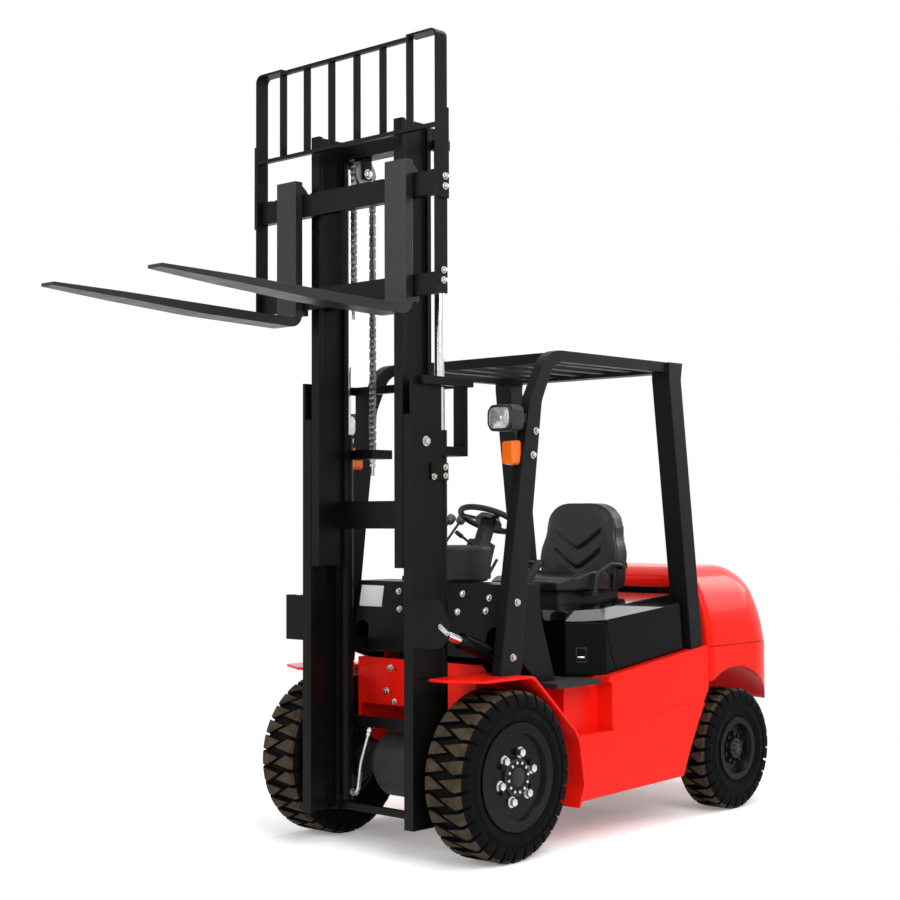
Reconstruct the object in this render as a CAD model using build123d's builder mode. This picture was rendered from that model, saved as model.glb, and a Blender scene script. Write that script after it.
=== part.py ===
from build123d import *
import os
from math import cos, hypot, pi, radians, sin, sqrt

os.makedirs("parts", exist_ok=True)

# Counterbalance forklift with a two-stage mast, raised as in the photograph.
# Millimetres. +X is the truck's left, -Y its front, +Z up, the floor is Z = 0.
# Profiles are drawn with y measured back from the front axle.

# Wheels and axles
wheelbase = 1700
front_track = 1000
front_tyre_radius = 355
front_tyre_width = 225
front_bead_radius = 191
front_flange_radius = 224
rear_track = 980
rear_tyre_radius = 293
rear_tyre_width = 178
rear_bead_radius = 127
rear_flange_radius = 150
rim_wall = 12
tyre_fit = 0.3
tyre_wall = 0.42
tyre_bevel = 12
bead_inset = 18
bead_rise = 34
front_lugs = 20
rear_lugs = 18
lug_depth = 16
lug_sink = 12
lug_slope = 17
lug_reach = 0.44
lug_lead = 0.6
pin_fit = 0.3
moving_gap = 5
axle_tube_radius = 72
diff_radius = 150
spindle_radius = 40
kingpin_x = 390
kingpin_radius = 16
steer_spindle_radius = 22
steer_beam_depth = 76
steer_beam_height = 120
yoke_plate = 18

# Forks and carriage
fork_face = 440
fork_length = 1220
fork_thickness = 40
fork_tip = 14
fork_rise = 38
fork_bend = 500
fork_width = 122
fork_centre_x = 335
fork_height = 640
fork_base_z = 2258
slide_gap = 0.5
bar_thickness = 38
bar_half_width = 545
carriage_drop = 76
carriage_height = 508
upper_bar_height = 100
lower_bar_height = 90
bar_lip = 16
bar_notches = 13
notch_width = 18
notch_depth = 7
side_plate_x = 195
side_plate = 20
roller_rise = 230
backrest_rise = 184
backrest_height = 387
backrest_plate = 10
backrest_depth = 63
bracket_drop = 122
bracket_rise = 248
backrest_bend = 34
backrest_step = 10
backrest_bars = 6
backrest_bar_depth = 35

# Mast
mast_front = 342
rail_depth = 177
outer_rail_x = 335
outer_flange = 52
web = 15
flange = 22
inner_rail_width = 48
mast_bottom = 146
outer_top = 2020
inner_bottom = 1220
inner_top = 3104
roller_radius = 60
roller_notch = 160
lift_x = 287
lift_y = 125
lift_barrel_radius = 31
lift_rod_radius = 22
lift_bottom = 200
lift_barrel_top = 1800
lift_rod_bottom = 1350
lift_head = 2995
foot_radius = 90
tie_z = 1985
tie_height = 36
tie_arm = 25
tie_back = 10
foot_tie = 20
foot_tie_height = 32
clamp_z = 1690
clamp_height = 40
pulley_x = 150
pulley_y = 150
pulley_z = 2948
pulley_radius = 60
groove_radius = 50
chain_width = 30
chain_thickness = 16
chain_core = 24
chain_relief = 3
chain_pitch = 31.75
link_height = 40
crown_links = 7
anchor_z = 2400
top_tie_height = 70
crossbar_low = 1382
crossbar_height = 120
crossbar_thickness = 22

# Tilt cylinders
tilt_x = 405
tilt_pin_y = -280
tilt_pin_z = 970
tilt_base_y = 225
tilt_base_z = 790
tilt_barrel_radius = 36
tilt_rod_radius = 20
tilt_pin_radius = 15
tilt_eye_radius = 38
tilt_eye_width = 36
tilt_eye_play = 7
tilt_barrel_end = 372
ear_plate = 16
ear_front = -330
ear_low = 895
ear_high = 1091

# Chassis and body
frame_x = 340
frame_plate = 20
frame_top = 690
frame_bottom = 260
tail_bottom = 612
bearer = 80
front_plate_y = 20
front_plate_top = 800
front_plate_bottom = 593
floor_thickness = 22
floor_front = 310
tail_half_width = 100
body_half_width = 570
floor_inset = 5
tank_front = 462
tank_gap = 9
tank_rise_y = 675
tank_rise_z = 716
tank_back_z = 811
step_depth = 90
step_z = 475
step_back = 705
fender_inner = 361
fender_setback = 10.5
fender_top = 766
fender_front = -275
fender_nose_x = 445
fender_corner = -196
fender_sheet = 12
rear_overhang = 500
weight_lead = 220
weight_bottom = 505
weight_split = 800
weight_top = 1180
weight_corner = 340
weight_inset = 12
weight_crown = 130
well_radius = 416
well_z = 320
cowl_half_width = 450
cowl_sheet = 8
cowl_top = 1140
cowl_back = 330
engine_half_width = 250
engine_front = 640
engine_top = 880
engine_base = 330
hood_swing = 192
radiator_depth = 88

# Hood and seat
hood_front = 587
hood_half_width = 520
hood_chamfer = 130
hood_front_top = 1000
hood_back_top = 1066
hood_clear = 133
hood_wall = 10
hood_bevel = 45
hood_seam = 955
hood_low = 600
hinge_inset = 25
hinge_z = 1030
hinge_x = 250
hinge_pin_radius = 7
hinge_leaf = 20
hinge_tab = 14
seat_half_width = 245
seat_base_half = 200
cushion_thickness = 64
cushion_depth = 430
seat_setback = 172
bolster_rise = 26
bolster_width = 70
back_half_width = 228
back_taper = 22
back_corner = 105
hip_bar_radius = 11
seat_back_top = 1500

# Overhead guard
guard_top = 2160
guard_rail = 48
guard_half_width = 530
guard_leg_width = 50
guard_rear_half_width = 545
guard_rear_leg = 100
guard_setback = 48
leg_foot_front = -19
leg_foot_back = 112
roof_front = 400
roof_bar = 12
slat_width = 50
slat_height = 32
slats = 5

# Controls
wheel_y = 515
wheel_z = 1420
wheel_radius = 150
wheel_grip = 14
column_lean = 25
column_radius = 38
shaft_radius = 12

# Worked-out places
rear_reach = wheelbase + rear_overhang
front_axle_y = (fork_face + fork_length - rear_reach) / 2
rear_axle_y = front_axle_y + wheelbase
front_wheel_x = front_track / 2
rear_wheel_x = rear_track / 2
front_inner_x = front_wheel_x - front_tyre_width / 2
mast_back = mast_front - rail_depth
mast_mid = (mast_front + mast_back) / 2
outer_inner_x = outer_rail_x - outer_flange
inner_outer_x = outer_inner_x - moving_gap
inner_inner_x = inner_outer_x - inner_rail_width
inner_mid_x = (inner_outer_x + inner_inner_x) / 2
bar_front = fork_face - fork_thickness
bar_back = bar_front - bar_thickness
carriage_bottom = fork_base_z + carriage_drop
carriage_top = carriage_bottom + carriage_height
floor_z = frame_top + floor_thickness
floor_half_width = body_half_width - floor_inset
weight_front = wheelbase - weight_lead
tank_back = weight_front - tank_gap
hood_back = weight_front - hood_clear
hinge_y = hood_back - hinge_inset
guard_back = hood_back - guard_setback
cushion_back = hood_back - seat_setback
cushion_front = cushion_back - cushion_depth
engine_back = hinge_y - hood_swing
radiator_front = weight_front - radiator_depth
fender_outer = front_wheel_x + front_tyre_width / 2 - fender_setback
backrest_low_bar = carriage_top + backrest_rise
backrest_top = backrest_low_bar + backrest_height
tank_slope = (tank_back_z - tank_rise_z) / (tank_back - tank_rise_y)
hood_slope = (hood_back_top - hood_front_top) / (hood_back - hood_front)


def side(x):
    return Plane(origin=(x, front_axle_y, 0), x_dir=(0, 1, 0), z_dir=(1, 0, 0))


def plan(z):
    return Plane(origin=(0, front_axle_y, z))


def tank_top(y):
    return tank_rise_z + tank_slope * (y - tank_rise_y)


def hood_top(y):
    return hood_front_top + hood_slope * (y - hood_front)


def save(piece, name):
    piece.part.label = name
    export_step(piece.part, f"parts/{name}.step")


def block(x0, x1, y0, y1, z0, z1, mode=Mode.ADD):
    with Locations(((x0 + x1) / 2, front_axle_y + (y0 + y1) / 2, (z0 + z1) / 2)):
        Box(x1 - x0, y1 - y0, z1 - z0, mode=mode)


def rod_x(x0, x1, y, z, radius, mode=Mode.ADD):
    with BuildSketch(side(x0)) as disc:
        with Locations((y, z)):
            Circle(radius)
    extrude(disc.sketch, amount=x1 - x0, mode=mode)


def rod_z(x, y, z0, z1, radius, mode=Mode.ADD):
    with BuildSketch(plan(z0)) as disc:
        with Locations((x, y)):
            Circle(radius)
    extrude(disc.sketch, amount=z1 - z0, mode=mode)


def plate_x(x0, x1, points, mode=Mode.ADD):
    with BuildSketch(side(x0)) as outline:
        with BuildLine():
            Polyline(*points, close=True)
        make_face()
    extrude(outline.sketch, amount=x1 - x0, mode=mode)


# A tyre has flats lofted along the axle: tread band, walls and the seat for its rim.
def flats(rings, sides, y, z, mode=Mode.ADD):
    sections = []
    for x, inradius in rings:
        with BuildSketch(Plane(origin=(x, y, z), x_dir=(0, 1, 0), z_dir=(1, 0, 0))) as ring:
            RegularPolygon(inradius, sides, major_radius=False)
        sections.append(ring.sketch)
    loft(sections, ruled=True, mode=mode)


def carcass(x, y, bead, radius, width, sides):
    half = width / 2
    base = radius - lug_depth
    wall = bead + tyre_wall * (radius - bead)
    flats([(x - half, wall), (x - half + tyre_bevel, base), (x + half - tyre_bevel, base), (x + half, wall)],
          sides, y, radius)
    for out in (-1, 1):
        flats([(x + out * (half - bead_inset), bead + tyre_fit),
               (x + out * (half - tyre_bevel), bead + bead_rise), (x + out * half, wall - tyre_bevel / 2)],
              sides, y, radius, Mode.SUBTRACT)
    flats([(x - half, bead + tyre_fit), (x + half, bead + tyre_fit)], sides, y, radius, Mode.SUBTRACT)


# One lug at the foot of a wheel whose axle is the X axis: its plan, sloped down at the shoulder.
def lug_block(radius, width, lugs):
    half = width / 2
    reach = lug_reach * 2 * pi * radius / lugs
    top = sqrt(radius ** 2 - reach ** 2)
    root = radius - lug_depth - lug_sink
    with BuildSketch(Plane.XY.offset(-top)) as outline:
        with BuildLine():
            Polyline((0.02 * half, 0.9 * reach), (half, reach), (half, -reach), (0.34 * half, -reach),
                     close=True)
        make_face()
    extrude(outline.sketch, amount=top - root)
    with BuildSketch(Plane.XZ) as section:
        with BuildLine():
            Polyline((0, -root), (0, -top), (half - tyre_bevel - lug_slope, -top), (half - tyre_bevel, -root),
                     close=True)
        make_face()
    extrude(section.sketch, amount=2 * reach, both=True, mode=Mode.INTERSECT)


def lug_rows(lug, x, y, z, lugs):
    for lead, turn in ((lug_reach, 0), (lug_reach - lug_lead, 180)):
        with Locations(*[Location((x, y, z), (360 * (k + lead) / lugs, 0, turn)) for k in range(lugs)]):
            add(lug)


with BuildPart() as front_lug:
    lug_block(front_tyre_radius, front_tyre_width, front_lugs)

with BuildPart() as front_tyre_left:
    carcass(front_wheel_x, front_axle_y, front_bead_radius, front_tyre_radius, front_tyre_width, front_lugs)
    lug_rows(front_lug.part, front_wheel_x, front_axle_y, front_tyre_radius, front_lugs)
save(front_tyre_left, "front_tyre_left")

with BuildPart() as front_tyre_right:
    mirror(front_tyre_left.part, about=Plane.YZ)
save(front_tyre_right, "front_tyre_right")

with BuildPart() as rear_lug:
    lug_block(rear_tyre_radius, rear_tyre_width, rear_lugs)

with BuildPart() as rear_tyre_left:
    carcass(rear_wheel_x, rear_axle_y, rear_bead_radius, rear_tyre_radius, rear_tyre_width, rear_lugs)
    lug_rows(rear_lug.part, rear_wheel_x, rear_axle_y, rear_tyre_radius, rear_lugs)
save(rear_tyre_left, "rear_tyre_left")

with BuildPart() as rear_tyre_right:
    mirror(rear_tyre_left.part, about=Plane.YZ)
save(rear_tyre_right, "rear_tyre_right")

# Drive wheel: rim barrel with a flange, flat disc flush with the tyre, hub.
front_nut_circle = 103
front_nut_radius = 14
front_hub_radius = 62
with BuildPart() as front_rim_left:
    with BuildSketch(Plane(origin=(front_wheel_x, front_axle_y, front_tyre_radius),
                           x_dir=(1, 0, 0), z_dir=(0, -1, 0))):
        half = front_tyre_width / 2
        with BuildLine():
            Polyline((-half + 17, front_bead_radius),
                     (half - 17, front_bead_radius),
                     (half - 11, front_bead_radius + 31),
                     (half - 2, front_flange_radius),
                     (half - 2, front_bead_radius - 8),
                     (half - 18, front_bead_radius - 16),
                     (half - 18, 75),
                     (half - 4, 66),
                     (half - 4, 0),
                     (half - 30, 0),
                     (half - 30, spindle_radius + pin_fit),
                     (-half + 4, spindle_radius + pin_fit),
                     (-half + 4, front_hub_radius),
                     (half - 34, front_hub_radius),
                     (half - 34, front_bead_radius - rim_wall),
                     (-half + 17, front_bead_radius - rim_wall),
                     close=True)
        make_face()
    revolve(axis=Axis((front_wheel_x, front_axle_y, front_tyre_radius), (1, 0, 0)))
    with Locations(Location((front_wheel_x + front_tyre_width / 2 - 18, front_axle_y,
                             front_tyre_radius), (0, 90, 0))):
        with PolarLocations(front_nut_circle, 6):
            Cylinder(front_nut_radius, 14, align=(Align.CENTER, Align.CENTER, Align.MIN))
save(front_rim_left, "front_rim_left")

with BuildPart() as front_rim_right:
    mirror(front_rim_left.part, about=Plane.YZ)
save(front_rim_right, "front_rim_right")

# Steered wheel: deep dish round the knuckle.
rear_nut_circle = 68
rear_hub_radius = 40
rear_disc = 38
with BuildPart() as rear_rim_left:
    with BuildSketch(Plane(origin=(rear_wheel_x, rear_axle_y, rear_tyre_radius),
                           x_dir=(1, 0, 0), z_dir=(0, -1, 0))):
        half = rear_tyre_width / 2
        with BuildLine():
            Polyline((-half + 17, rear_bead_radius),
                     (half - 17, rear_bead_radius),
                     (half - 11, rear_flange_radius),
                     (half - 3, rear_flange_radius),
                     (half - 3, rear_bead_radius - 4),
                     (half - rear_disc, rear_bead_radius - rim_wall - 6),
                     (half - rear_disc, 50),
                     (half - 20, 44),
                     (half - 20, 0),
                     (half - 34, 0),
                     (half - 34, steer_spindle_radius + pin_fit),
                     (half - rear_disc - 40, steer_spindle_radius + pin_fit),
                     (half - rear_disc - 40, rear_hub_radius),
                     (half - rear_disc - 12, rear_hub_radius),
                     (half - rear_disc - 12, rear_bead_radius - rim_wall),
                     (-half + 17, rear_bead_radius - rim_wall),
                     close=True)
        make_face()
    revolve(axis=Axis((rear_wheel_x, rear_axle_y, rear_tyre_radius), (1, 0, 0)))
    with Locations(Location((rear_wheel_x + rear_tyre_width / 2 - rear_disc, rear_axle_y,
                             rear_tyre_radius), (0, 90, 0))):
        with PolarLocations(rear_nut_circle, 5):
            Cylinder(10, 12, align=(Align.CENTER, Align.CENTER, Align.MIN))
save(rear_rim_left, "rear_rim_left")

with BuildPart() as rear_rim_right:
    mirror(rear_rim_left.part, about=Plane.YZ)
save(rear_rim_right, "rear_rim_right")

# Drive axle: differential, tubes, brake drums and spindles.
drum_x = frame_x + frame_plate + 6
spindle_end = front_wheel_x + front_tyre_width / 2 - 32
with BuildPart() as drive_axle:
    with BuildSketch(Plane(origin=(0, front_axle_y, front_tyre_radius),
                           x_dir=(1, 0, 0), z_dir=(0, -1, 0))):
        with BuildLine():
            Polyline((0, 0), (0, diff_radius), (90, diff_radius), (190, axle_tube_radius),
                     (drum_x, axle_tube_radius), (drum_x, diff_radius - 10),
                     (front_inner_x - moving_gap, diff_radius - 10),
                     (front_inner_x - moving_gap, spindle_radius),
                     (spindle_end, spindle_radius), (spindle_end, 0), close=True)
        make_face()
    revolve(axis=Axis((0, front_axle_y, front_tyre_radius), (1, 0, 0)))
    block(frame_x, frame_x + frame_plate, -60, 60,
          front_tyre_radius + axle_tube_radius - 20, front_tyre_radius + axle_tube_radius + 13)
    mirror(about=Plane.YZ)
save(drive_axle, "drive_axle")

# Steer axle: beam with a yoke and kingpin at each end.
beam_z0 = rear_tyre_radius - steer_beam_height / 2
beam_z1 = rear_tyre_radius + steer_beam_height / 2
with BuildPart() as steer_axle:
    block(0, kingpin_x - 50, wheelbase - steer_beam_depth / 2, wheelbase + steer_beam_depth / 2,
          beam_z0, beam_z1)
    for z in (beam_z0, beam_z1 - yoke_plate):
        with BuildSketch(plan(z)):
            with Locations((kingpin_x - 30, wheelbase)):
                Rectangle(60, 64)
            with Locations((kingpin_x, wheelbase)):
                Circle(32)
        extrude(amount=yoke_plate)
    rod_z(kingpin_x, wheelbase, beam_z0, beam_z1, kingpin_radius)
    mirror(about=Plane.YZ)
save(steer_axle, "steer_axle")

# Knuckle: barrel on the kingpin with the wheel spindle.
knuckle_z0 = beam_z0 + yoke_plate + moving_gap
knuckle_z1 = beam_z1 - yoke_plate - moving_gap
rear_spindle_end = rear_wheel_x + rear_tyre_width / 2 - 36
with BuildPart() as knuckle_left:
    rod_z(kingpin_x, wheelbase, knuckle_z0, knuckle_z1, 30)
    rod_x(kingpin_x, kingpin_x + 62, wheelbase, rear_tyre_radius, 30)
    rod_x(kingpin_x, rear_spindle_end, wheelbase, rear_tyre_radius, steer_spindle_radius)
    rod_z(kingpin_x, wheelbase, knuckle_z0, knuckle_z1, kingpin_radius + pin_fit, Mode.SUBTRACT)
save(knuckle_left, "knuckle_left")

with BuildPart() as knuckle_right:
    mirror(knuckle_left.part, about=Plane.YZ)
save(knuckle_right, "knuckle_right")

# Chassis: side plates, front plate, engine bearers and the tail over the steer axle.
axle_pad = front_tyre_radius + axle_tube_radius + 13
pad_half = 60
nose_z = 480
keel_front = 480
keel_back = wheelbase - 520
tail_front = wheelbase - 380
base_ear = 32
base_ear_front = 150
base_ear_back = 300
tail_length = 60
with BuildPart() as chassis_frame:
    plate_x(frame_x, frame_x + frame_plate,
            [(-pad_half, axle_pad), (pad_half, axle_pad), (keel_front, frame_bottom),
             (keel_back, frame_bottom), (tail_front, tail_bottom), (weight_front, tail_bottom),
             (weight_front, frame_top), (base_ear_back, frame_top),
             (tilt_base_y + base_ear, tilt_base_z + base_ear),
             (tilt_base_y - base_ear, tilt_base_z + base_ear), (base_ear_front, frame_top),
             (pad_half, front_plate_top), (front_plate_y, front_plate_top),
             (front_plate_y, nose_z + 40), (-pad_half, nose_z)])
    rod_x(frame_x + frame_plate, tilt_x + 26, tilt_base_y, tilt_base_z, tilt_pin_radius)
    mirror(about=Plane.YZ)
    block(-frame_x, frame_x, front_plate_y, front_plate_y + 20, front_plate_bottom, front_plate_top)
    for y in (engine_front - 20, engine_back - 50):
        block(-frame_x, frame_x, y, y + bearer, frame_bottom, engine_base)
    block(-frame_x, frame_x, weight_front - tail_length, weight_front, tail_bottom, frame_top)
    block(-tail_half_width, tail_half_width, weight_front - tail_length, wheelbase + tail_length,
          tail_bottom - 132, tail_bottom)
    block(-tail_half_width, tail_half_width, wheelbase - tail_length, wheelbase + tail_length, beam_z1,
          tail_bottom)
save(chassis_frame, "chassis_frame")

# Engine: one plain block on the bearers.
with BuildPart() as engine:
    block(-engine_half_width, engine_half_width, engine_front, engine_back, engine_base, engine_top)
    fillet(engine.edges().filter_by(Axis.Z), 30)
save(engine, "engine")

# Radiator block with the hood's hinge brackets and pins.
with BuildPart() as radiator:
    block(-engine_half_width - 80, engine_half_width + 80, radiator_front, weight_front,
          frame_top, hood_back_top + 20)
    for x in (-hinge_x, hinge_x):
        for plate in (-27, 15):
            block(x + plate, x + plate + 12, hinge_y, radiator_front, hinge_z - 10, hinge_z + 10)
            rod_x(x + plate, x + plate + 12, hinge_y, hinge_z, 10)
        rod_x(x - 27, x + 27, hinge_y, hinge_z, hinge_pin_radius)
save(radiator, "radiator")

# Side tanks: closed boxes with a step cut in front and an arch behind.
arch_foot = wheelbase - 454
with BuildPart() as side_tanks:
    with BuildSketch(side(frame_x + frame_plate)):
        with BuildLine():
            Polyline((arch_foot, 212), (tank_front, 190), (tank_front, frame_top),
                     (tank_rise_y, frame_top), (tank_rise_y, tank_rise_z),
                     (tank_back, tank_back_z), (tank_back, 600))
            ThreePointArc((tank_back, 600), (wheelbase - 328, 452), (arch_foot, 212))
        make_face()
    extrude(amount=body_half_width - frame_x - frame_plate)
    block(body_half_width - step_depth, body_half_width, tank_front, step_back, step_z, frame_top,
          Mode.SUBTRACT)
    plate_x(body_half_width - 8, body_half_width,
            [(step_back, 486), (tank_back, 542), (tank_back, tank_back_z + 5),
             (step_back, tank_back_z + 5)], Mode.SUBTRACT)
    mirror(about=Plane.YZ)
save(side_tanks, "side_tanks")

# Fenders: one bent sheet over each drive wheel.
with BuildPart() as fenders:
    with BuildSketch(side(fender_inner)):
        with BuildLine():
            FilletPolyline((fender_front, fender_top), (112, fender_top), (425, 487),
                           (tank_front, 262), (420, 171), radius=(70, 150, 60))
            offset(amount=-fender_sheet, side=Side.RIGHT)
        make_face()
    extrude(amount=fender_outer - fender_inner)
    with BuildSketch(plan(fender_top - fender_sheet)):
        with BuildLine():
            Polyline((fender_nose_x, fender_front), (fender_outer, fender_corner),
                     (fender_outer, fender_front), close=True)
        make_face()
    extrude(amount=fender_sheet, mode=Mode.SUBTRACT)
    mirror(about=Plane.YZ)
save(fenders, "fenders")

# Counterweight: cast body with rounded corners, wheel wells and a tow pocket.
tow_z = 640
tow_pin_radius = 16
tail_lamp_x = 300
lamp_half = 40
lamp_depth = 45
lamp_base = 900
lamp_height = 110
lamp_face = rear_reach - weight_inset
grille_half_width = 230
grille_z0 = 860
grille_z1 = 1060
grille_depth = 110
with BuildPart() as counterweight:
    for inset, z0, z1 in ((0, weight_bottom, weight_split), (weight_inset, weight_split, weight_top)):
        with BuildSketch(plan(z0)):
            with BuildLine():
                w = body_half_width - inset
                FilletPolyline((-w, weight_front), (w, weight_front), (w, rear_reach - inset),
                               (-w, rear_reach - inset),
                               radius=(30, 30, weight_corner, weight_corner), close=True)
            make_face()
        extrude(amount=z1 - z0)
    top = counterweight.faces().sort_by(Axis.Z)[-1]
    fillet(top.edges().filter_by(lambda e: e.center().Y > front_axle_y + weight_front + 30),
           weight_crown)
    for x in (-kingpin_x, kingpin_x):
        with Locations((x, rear_axle_y, well_z)):
            Sphere(well_radius, mode=Mode.SUBTRACT)
    block(-tail_half_width, tail_half_width, weight_front, wheelbase + 60, weight_bottom, 612,
          Mode.SUBTRACT)
    block(-grille_half_width, grille_half_width, rear_reach - grille_depth, rear_reach,
          grille_z0, grille_z1, Mode.SUBTRACT)
    block(-60, 60, rear_reach - 90, rear_reach, tow_z - 35, tow_z + 35, Mode.SUBTRACT)
    block(-50, 50, rear_reach - 90, rear_reach, tow_z + 80, tow_z + 150, Mode.SUBTRACT)
    rod_z(0, rear_reach - 45, weight_bottom, tow_z + 80, tow_pin_radius, Mode.SUBTRACT)
    for x in (-tail_lamp_x, tail_lamp_x):
        block(x - lamp_half, x + lamp_half, lamp_face - lamp_depth, rear_reach,
              lamp_base, lamp_base + lamp_height, Mode.SUBTRACT)
save(counterweight, "counterweight")

# Rear grille: a frame with upright bars in the counterweight's opening.
with BuildPart() as rear_grille:
    block(-grille_half_width, grille_half_width, rear_reach - grille_depth,
          rear_reach - grille_depth + 30, grille_z0, grille_z1)
    block(-grille_half_width + 16, grille_half_width - 16, rear_reach - grille_depth + 8,
          rear_reach - grille_depth + 30, grille_z0 + 16, grille_z1 - 16, Mode.SUBTRACT)
    with Locations((0, front_axle_y + rear_reach - grille_depth + 19, (grille_z0 + grille_z1) / 2)):
        with GridLocations(36, 1, 11, 1):
            Box(10, 22, grille_z1 - grille_z0 - 32)
save(rear_grille, "rear_grille")

# Floor and the lower front panel of the engine cover.
with BuildPart() as floor_plate:
    block(-floor_half_width, floor_half_width, floor_front, hood_front + 40, frame_top, floor_z)
save(floor_plate, "floor_plate")

# Cowl: bent sheet over the tilt cylinders, with end plates.
cowl_foot = 825
toe_z = 1010
toe_back = 430
arch_radius = 45
arch_z = 915
arch_depth = 140
cowl_points = [(70, cowl_foot), (125, cowl_top), (cowl_back, cowl_top), (cowl_back, toe_z),
               (toe_back, floor_z)]
with BuildPart() as front_cowl:
    with BuildSketch(side(-cowl_half_width)):
        with BuildLine():
            Polyline(*cowl_points)
            offset(amount=-cowl_sheet, side=Side.RIGHT, kind=Kind.INTERSECTION)
        make_face()
    extrude(amount=2 * cowl_half_width)
    for x in (-cowl_half_width - cowl_sheet, cowl_half_width):
        plate_x(x, x + cowl_sheet, cowl_points + [(320, floor_z), (180, cowl_foot)])
    for x in (-tilt_x, tilt_x):
        block(x - arch_radius, x + arch_radius, 60, 60 + arch_depth, 800, arch_z, Mode.SUBTRACT)
        with BuildSketch(Plane(origin=(x, front_axle_y + 60 + arch_depth, arch_z), x_dir=(1, 0, 0),
                               z_dir=(0, -1, 0))):
            Circle(arch_radius)
        extrude(amount=arch_depth, mode=Mode.SUBTRACT)
    block(-cowl_half_width - 20, cowl_half_width + 20, 300, 500, floor_z - 40, floor_z, Mode.SUBTRACT)
save(front_cowl, "front_cowl")


# Hood outline: front corners cut off, back leaning with the rear legs.
def hood_shell():
    w = hood_half_width
    crown_back = hood_back - 62
    with BuildSketch(plan(hood_low)) as outline:
        with BuildLine():
            Polyline((w, hood_back), (w, hood_front + hood_chamfer), (w - hood_chamfer, hood_front),
                     (-w + hood_chamfer, hood_front), (-w, hood_front + hood_chamfer), (-w, hood_back),
                     close=True)
        make_face()
    extrude(outline.sketch, amount=hood_back_top - hood_low)
    plate_x(-w, w, [(hood_front, hood_low), (hood_front, hood_front_top),
                    (crown_back, hood_top(crown_back)), (hood_back - 29, hood_back_top - 56),
                    (hood_back, hood_low)], Mode.INTERSECT)
    crown = faces().filter_by(lambda f: f.normal_at().Z > 0.95)[0]
    chamfer(crown.edges().filter_by(lambda e: e.center().Y < front_axle_y + crown_back - 15), hood_bevel)
    offset(amount=-hood_wall, openings=faces().sort_by(Axis.Z)[0], kind=Kind.INTERSECTION)


# Below the front corner the seam is an arc about the hinge, so the cover lifts clear of the panel.
seam_radius = hypot(hinge_y - hood_front - hood_chamfer, hinge_z - hood_seam)


def seam(radius, z):
    return (hinge_y - sqrt(radius ** 2 - (hinge_z - z) ** 2), z)


def below_seam(radius, z, mode):
    w = hood_half_width + hood_wall
    with BuildSketch(side(-w)) as outline:
        with BuildLine():
            ThreePointArc(seam(radius, floor_z), seam(radius, (floor_z + z) / 2), seam(radius, z))
            Polyline(seam(radius, z), (hood_front - hood_wall, z), (hood_front - hood_wall, hood_low),
                     (seam(radius, floor_z)[0], hood_low), seam(radius, floor_z))
        make_face()
    extrude(outline.sketch, amount=2 * w, mode=mode)


with BuildPart() as hood:
    hood_shell()
    below_seam(seam_radius - moving_gap, hood_seam + moving_gap, Mode.SUBTRACT)
    plate_x(-hood_half_width, hood_half_width,
            [(hood_front, hood_low), (hood_back, hood_low), (hood_back, tank_top(hood_back) + moving_gap),
             (hood_front, tank_top(hood_front) + moving_gap)], Mode.SUBTRACT)
    for x in (-hinge_x, hinge_x):
        plate_x(x - hinge_leaf / 2, x + hinge_leaf / 2,
                [(hood_back - 62, hinge_z - hinge_tab), (hood_back - 62, hinge_z + hinge_tab),
                 (hinge_y, hinge_z + hinge_tab), (hinge_y + hinge_tab, hinge_z),
                 (hinge_y, hinge_z - hinge_tab)])
        rod_x(x - hinge_leaf / 2, x + hinge_leaf / 2, hinge_y, hinge_z, hinge_pin_radius + pin_fit,
              Mode.SUBTRACT)
save(hood, "hood")

with BuildPart() as hood_front_panel:
    hood_shell()
    below_seam(seam_radius, hood_seam, Mode.INTERSECT)
    plate_x(-hood_half_width, hood_half_width,
            [(hood_front, hood_low), (hood_back, hood_low), (hood_back, tank_top(hood_back)),
             (tank_rise_y, tank_rise_z), (tank_rise_y, floor_z), (hood_front, floor_z)], Mode.SUBTRACT)
save(hood_front_panel, "hood_front_panel")

# Seat: base on the hood, cushion, backrest and side wings.
seat_z = 1080
base_front = cushion_front + 45
base_back = cushion_back + 87
with BuildPart() as seat_base:
    plate_x(-seat_base_half, seat_base_half,
            [(base_front, hood_top(base_front)), (base_back, hood_top(base_back)), (base_back, seat_z),
             (base_front, seat_z)])
    fillet(seat_base.edges().filter_by(Axis.Z), 40)
save(seat_base, "seat_base")

seat_top = seat_z + cushion_thickness
with BuildPart() as seat_cushion:
    block(-seat_half_width, seat_half_width, cushion_front, cushion_back, seat_z, seat_top)
    fillet(seat_cushion.edges().filter_by(Axis.Z), 60)
    fillet(seat_cushion.faces().sort_by(Axis.Z)[-1].edges(), 25)
    with BuildSketch(side(seat_half_width - bolster_width)):
        with BuildLine():
            crest = cushion_back - 0.35 * cushion_depth
            Line((cushion_front + 90, seat_top - 30), (cushion_back - 30, seat_top - 30))
            ThreePointArc((cushion_back - 30, seat_top - 30), (crest, seat_top + bolster_rise),
                          (cushion_front + 90, seat_top - 30))
        make_face()
    bolster = extrude(amount=bolster_width)
    mirror(bolster, about=Plane.YZ)
save(seat_cushion, "seat_cushion")

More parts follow.
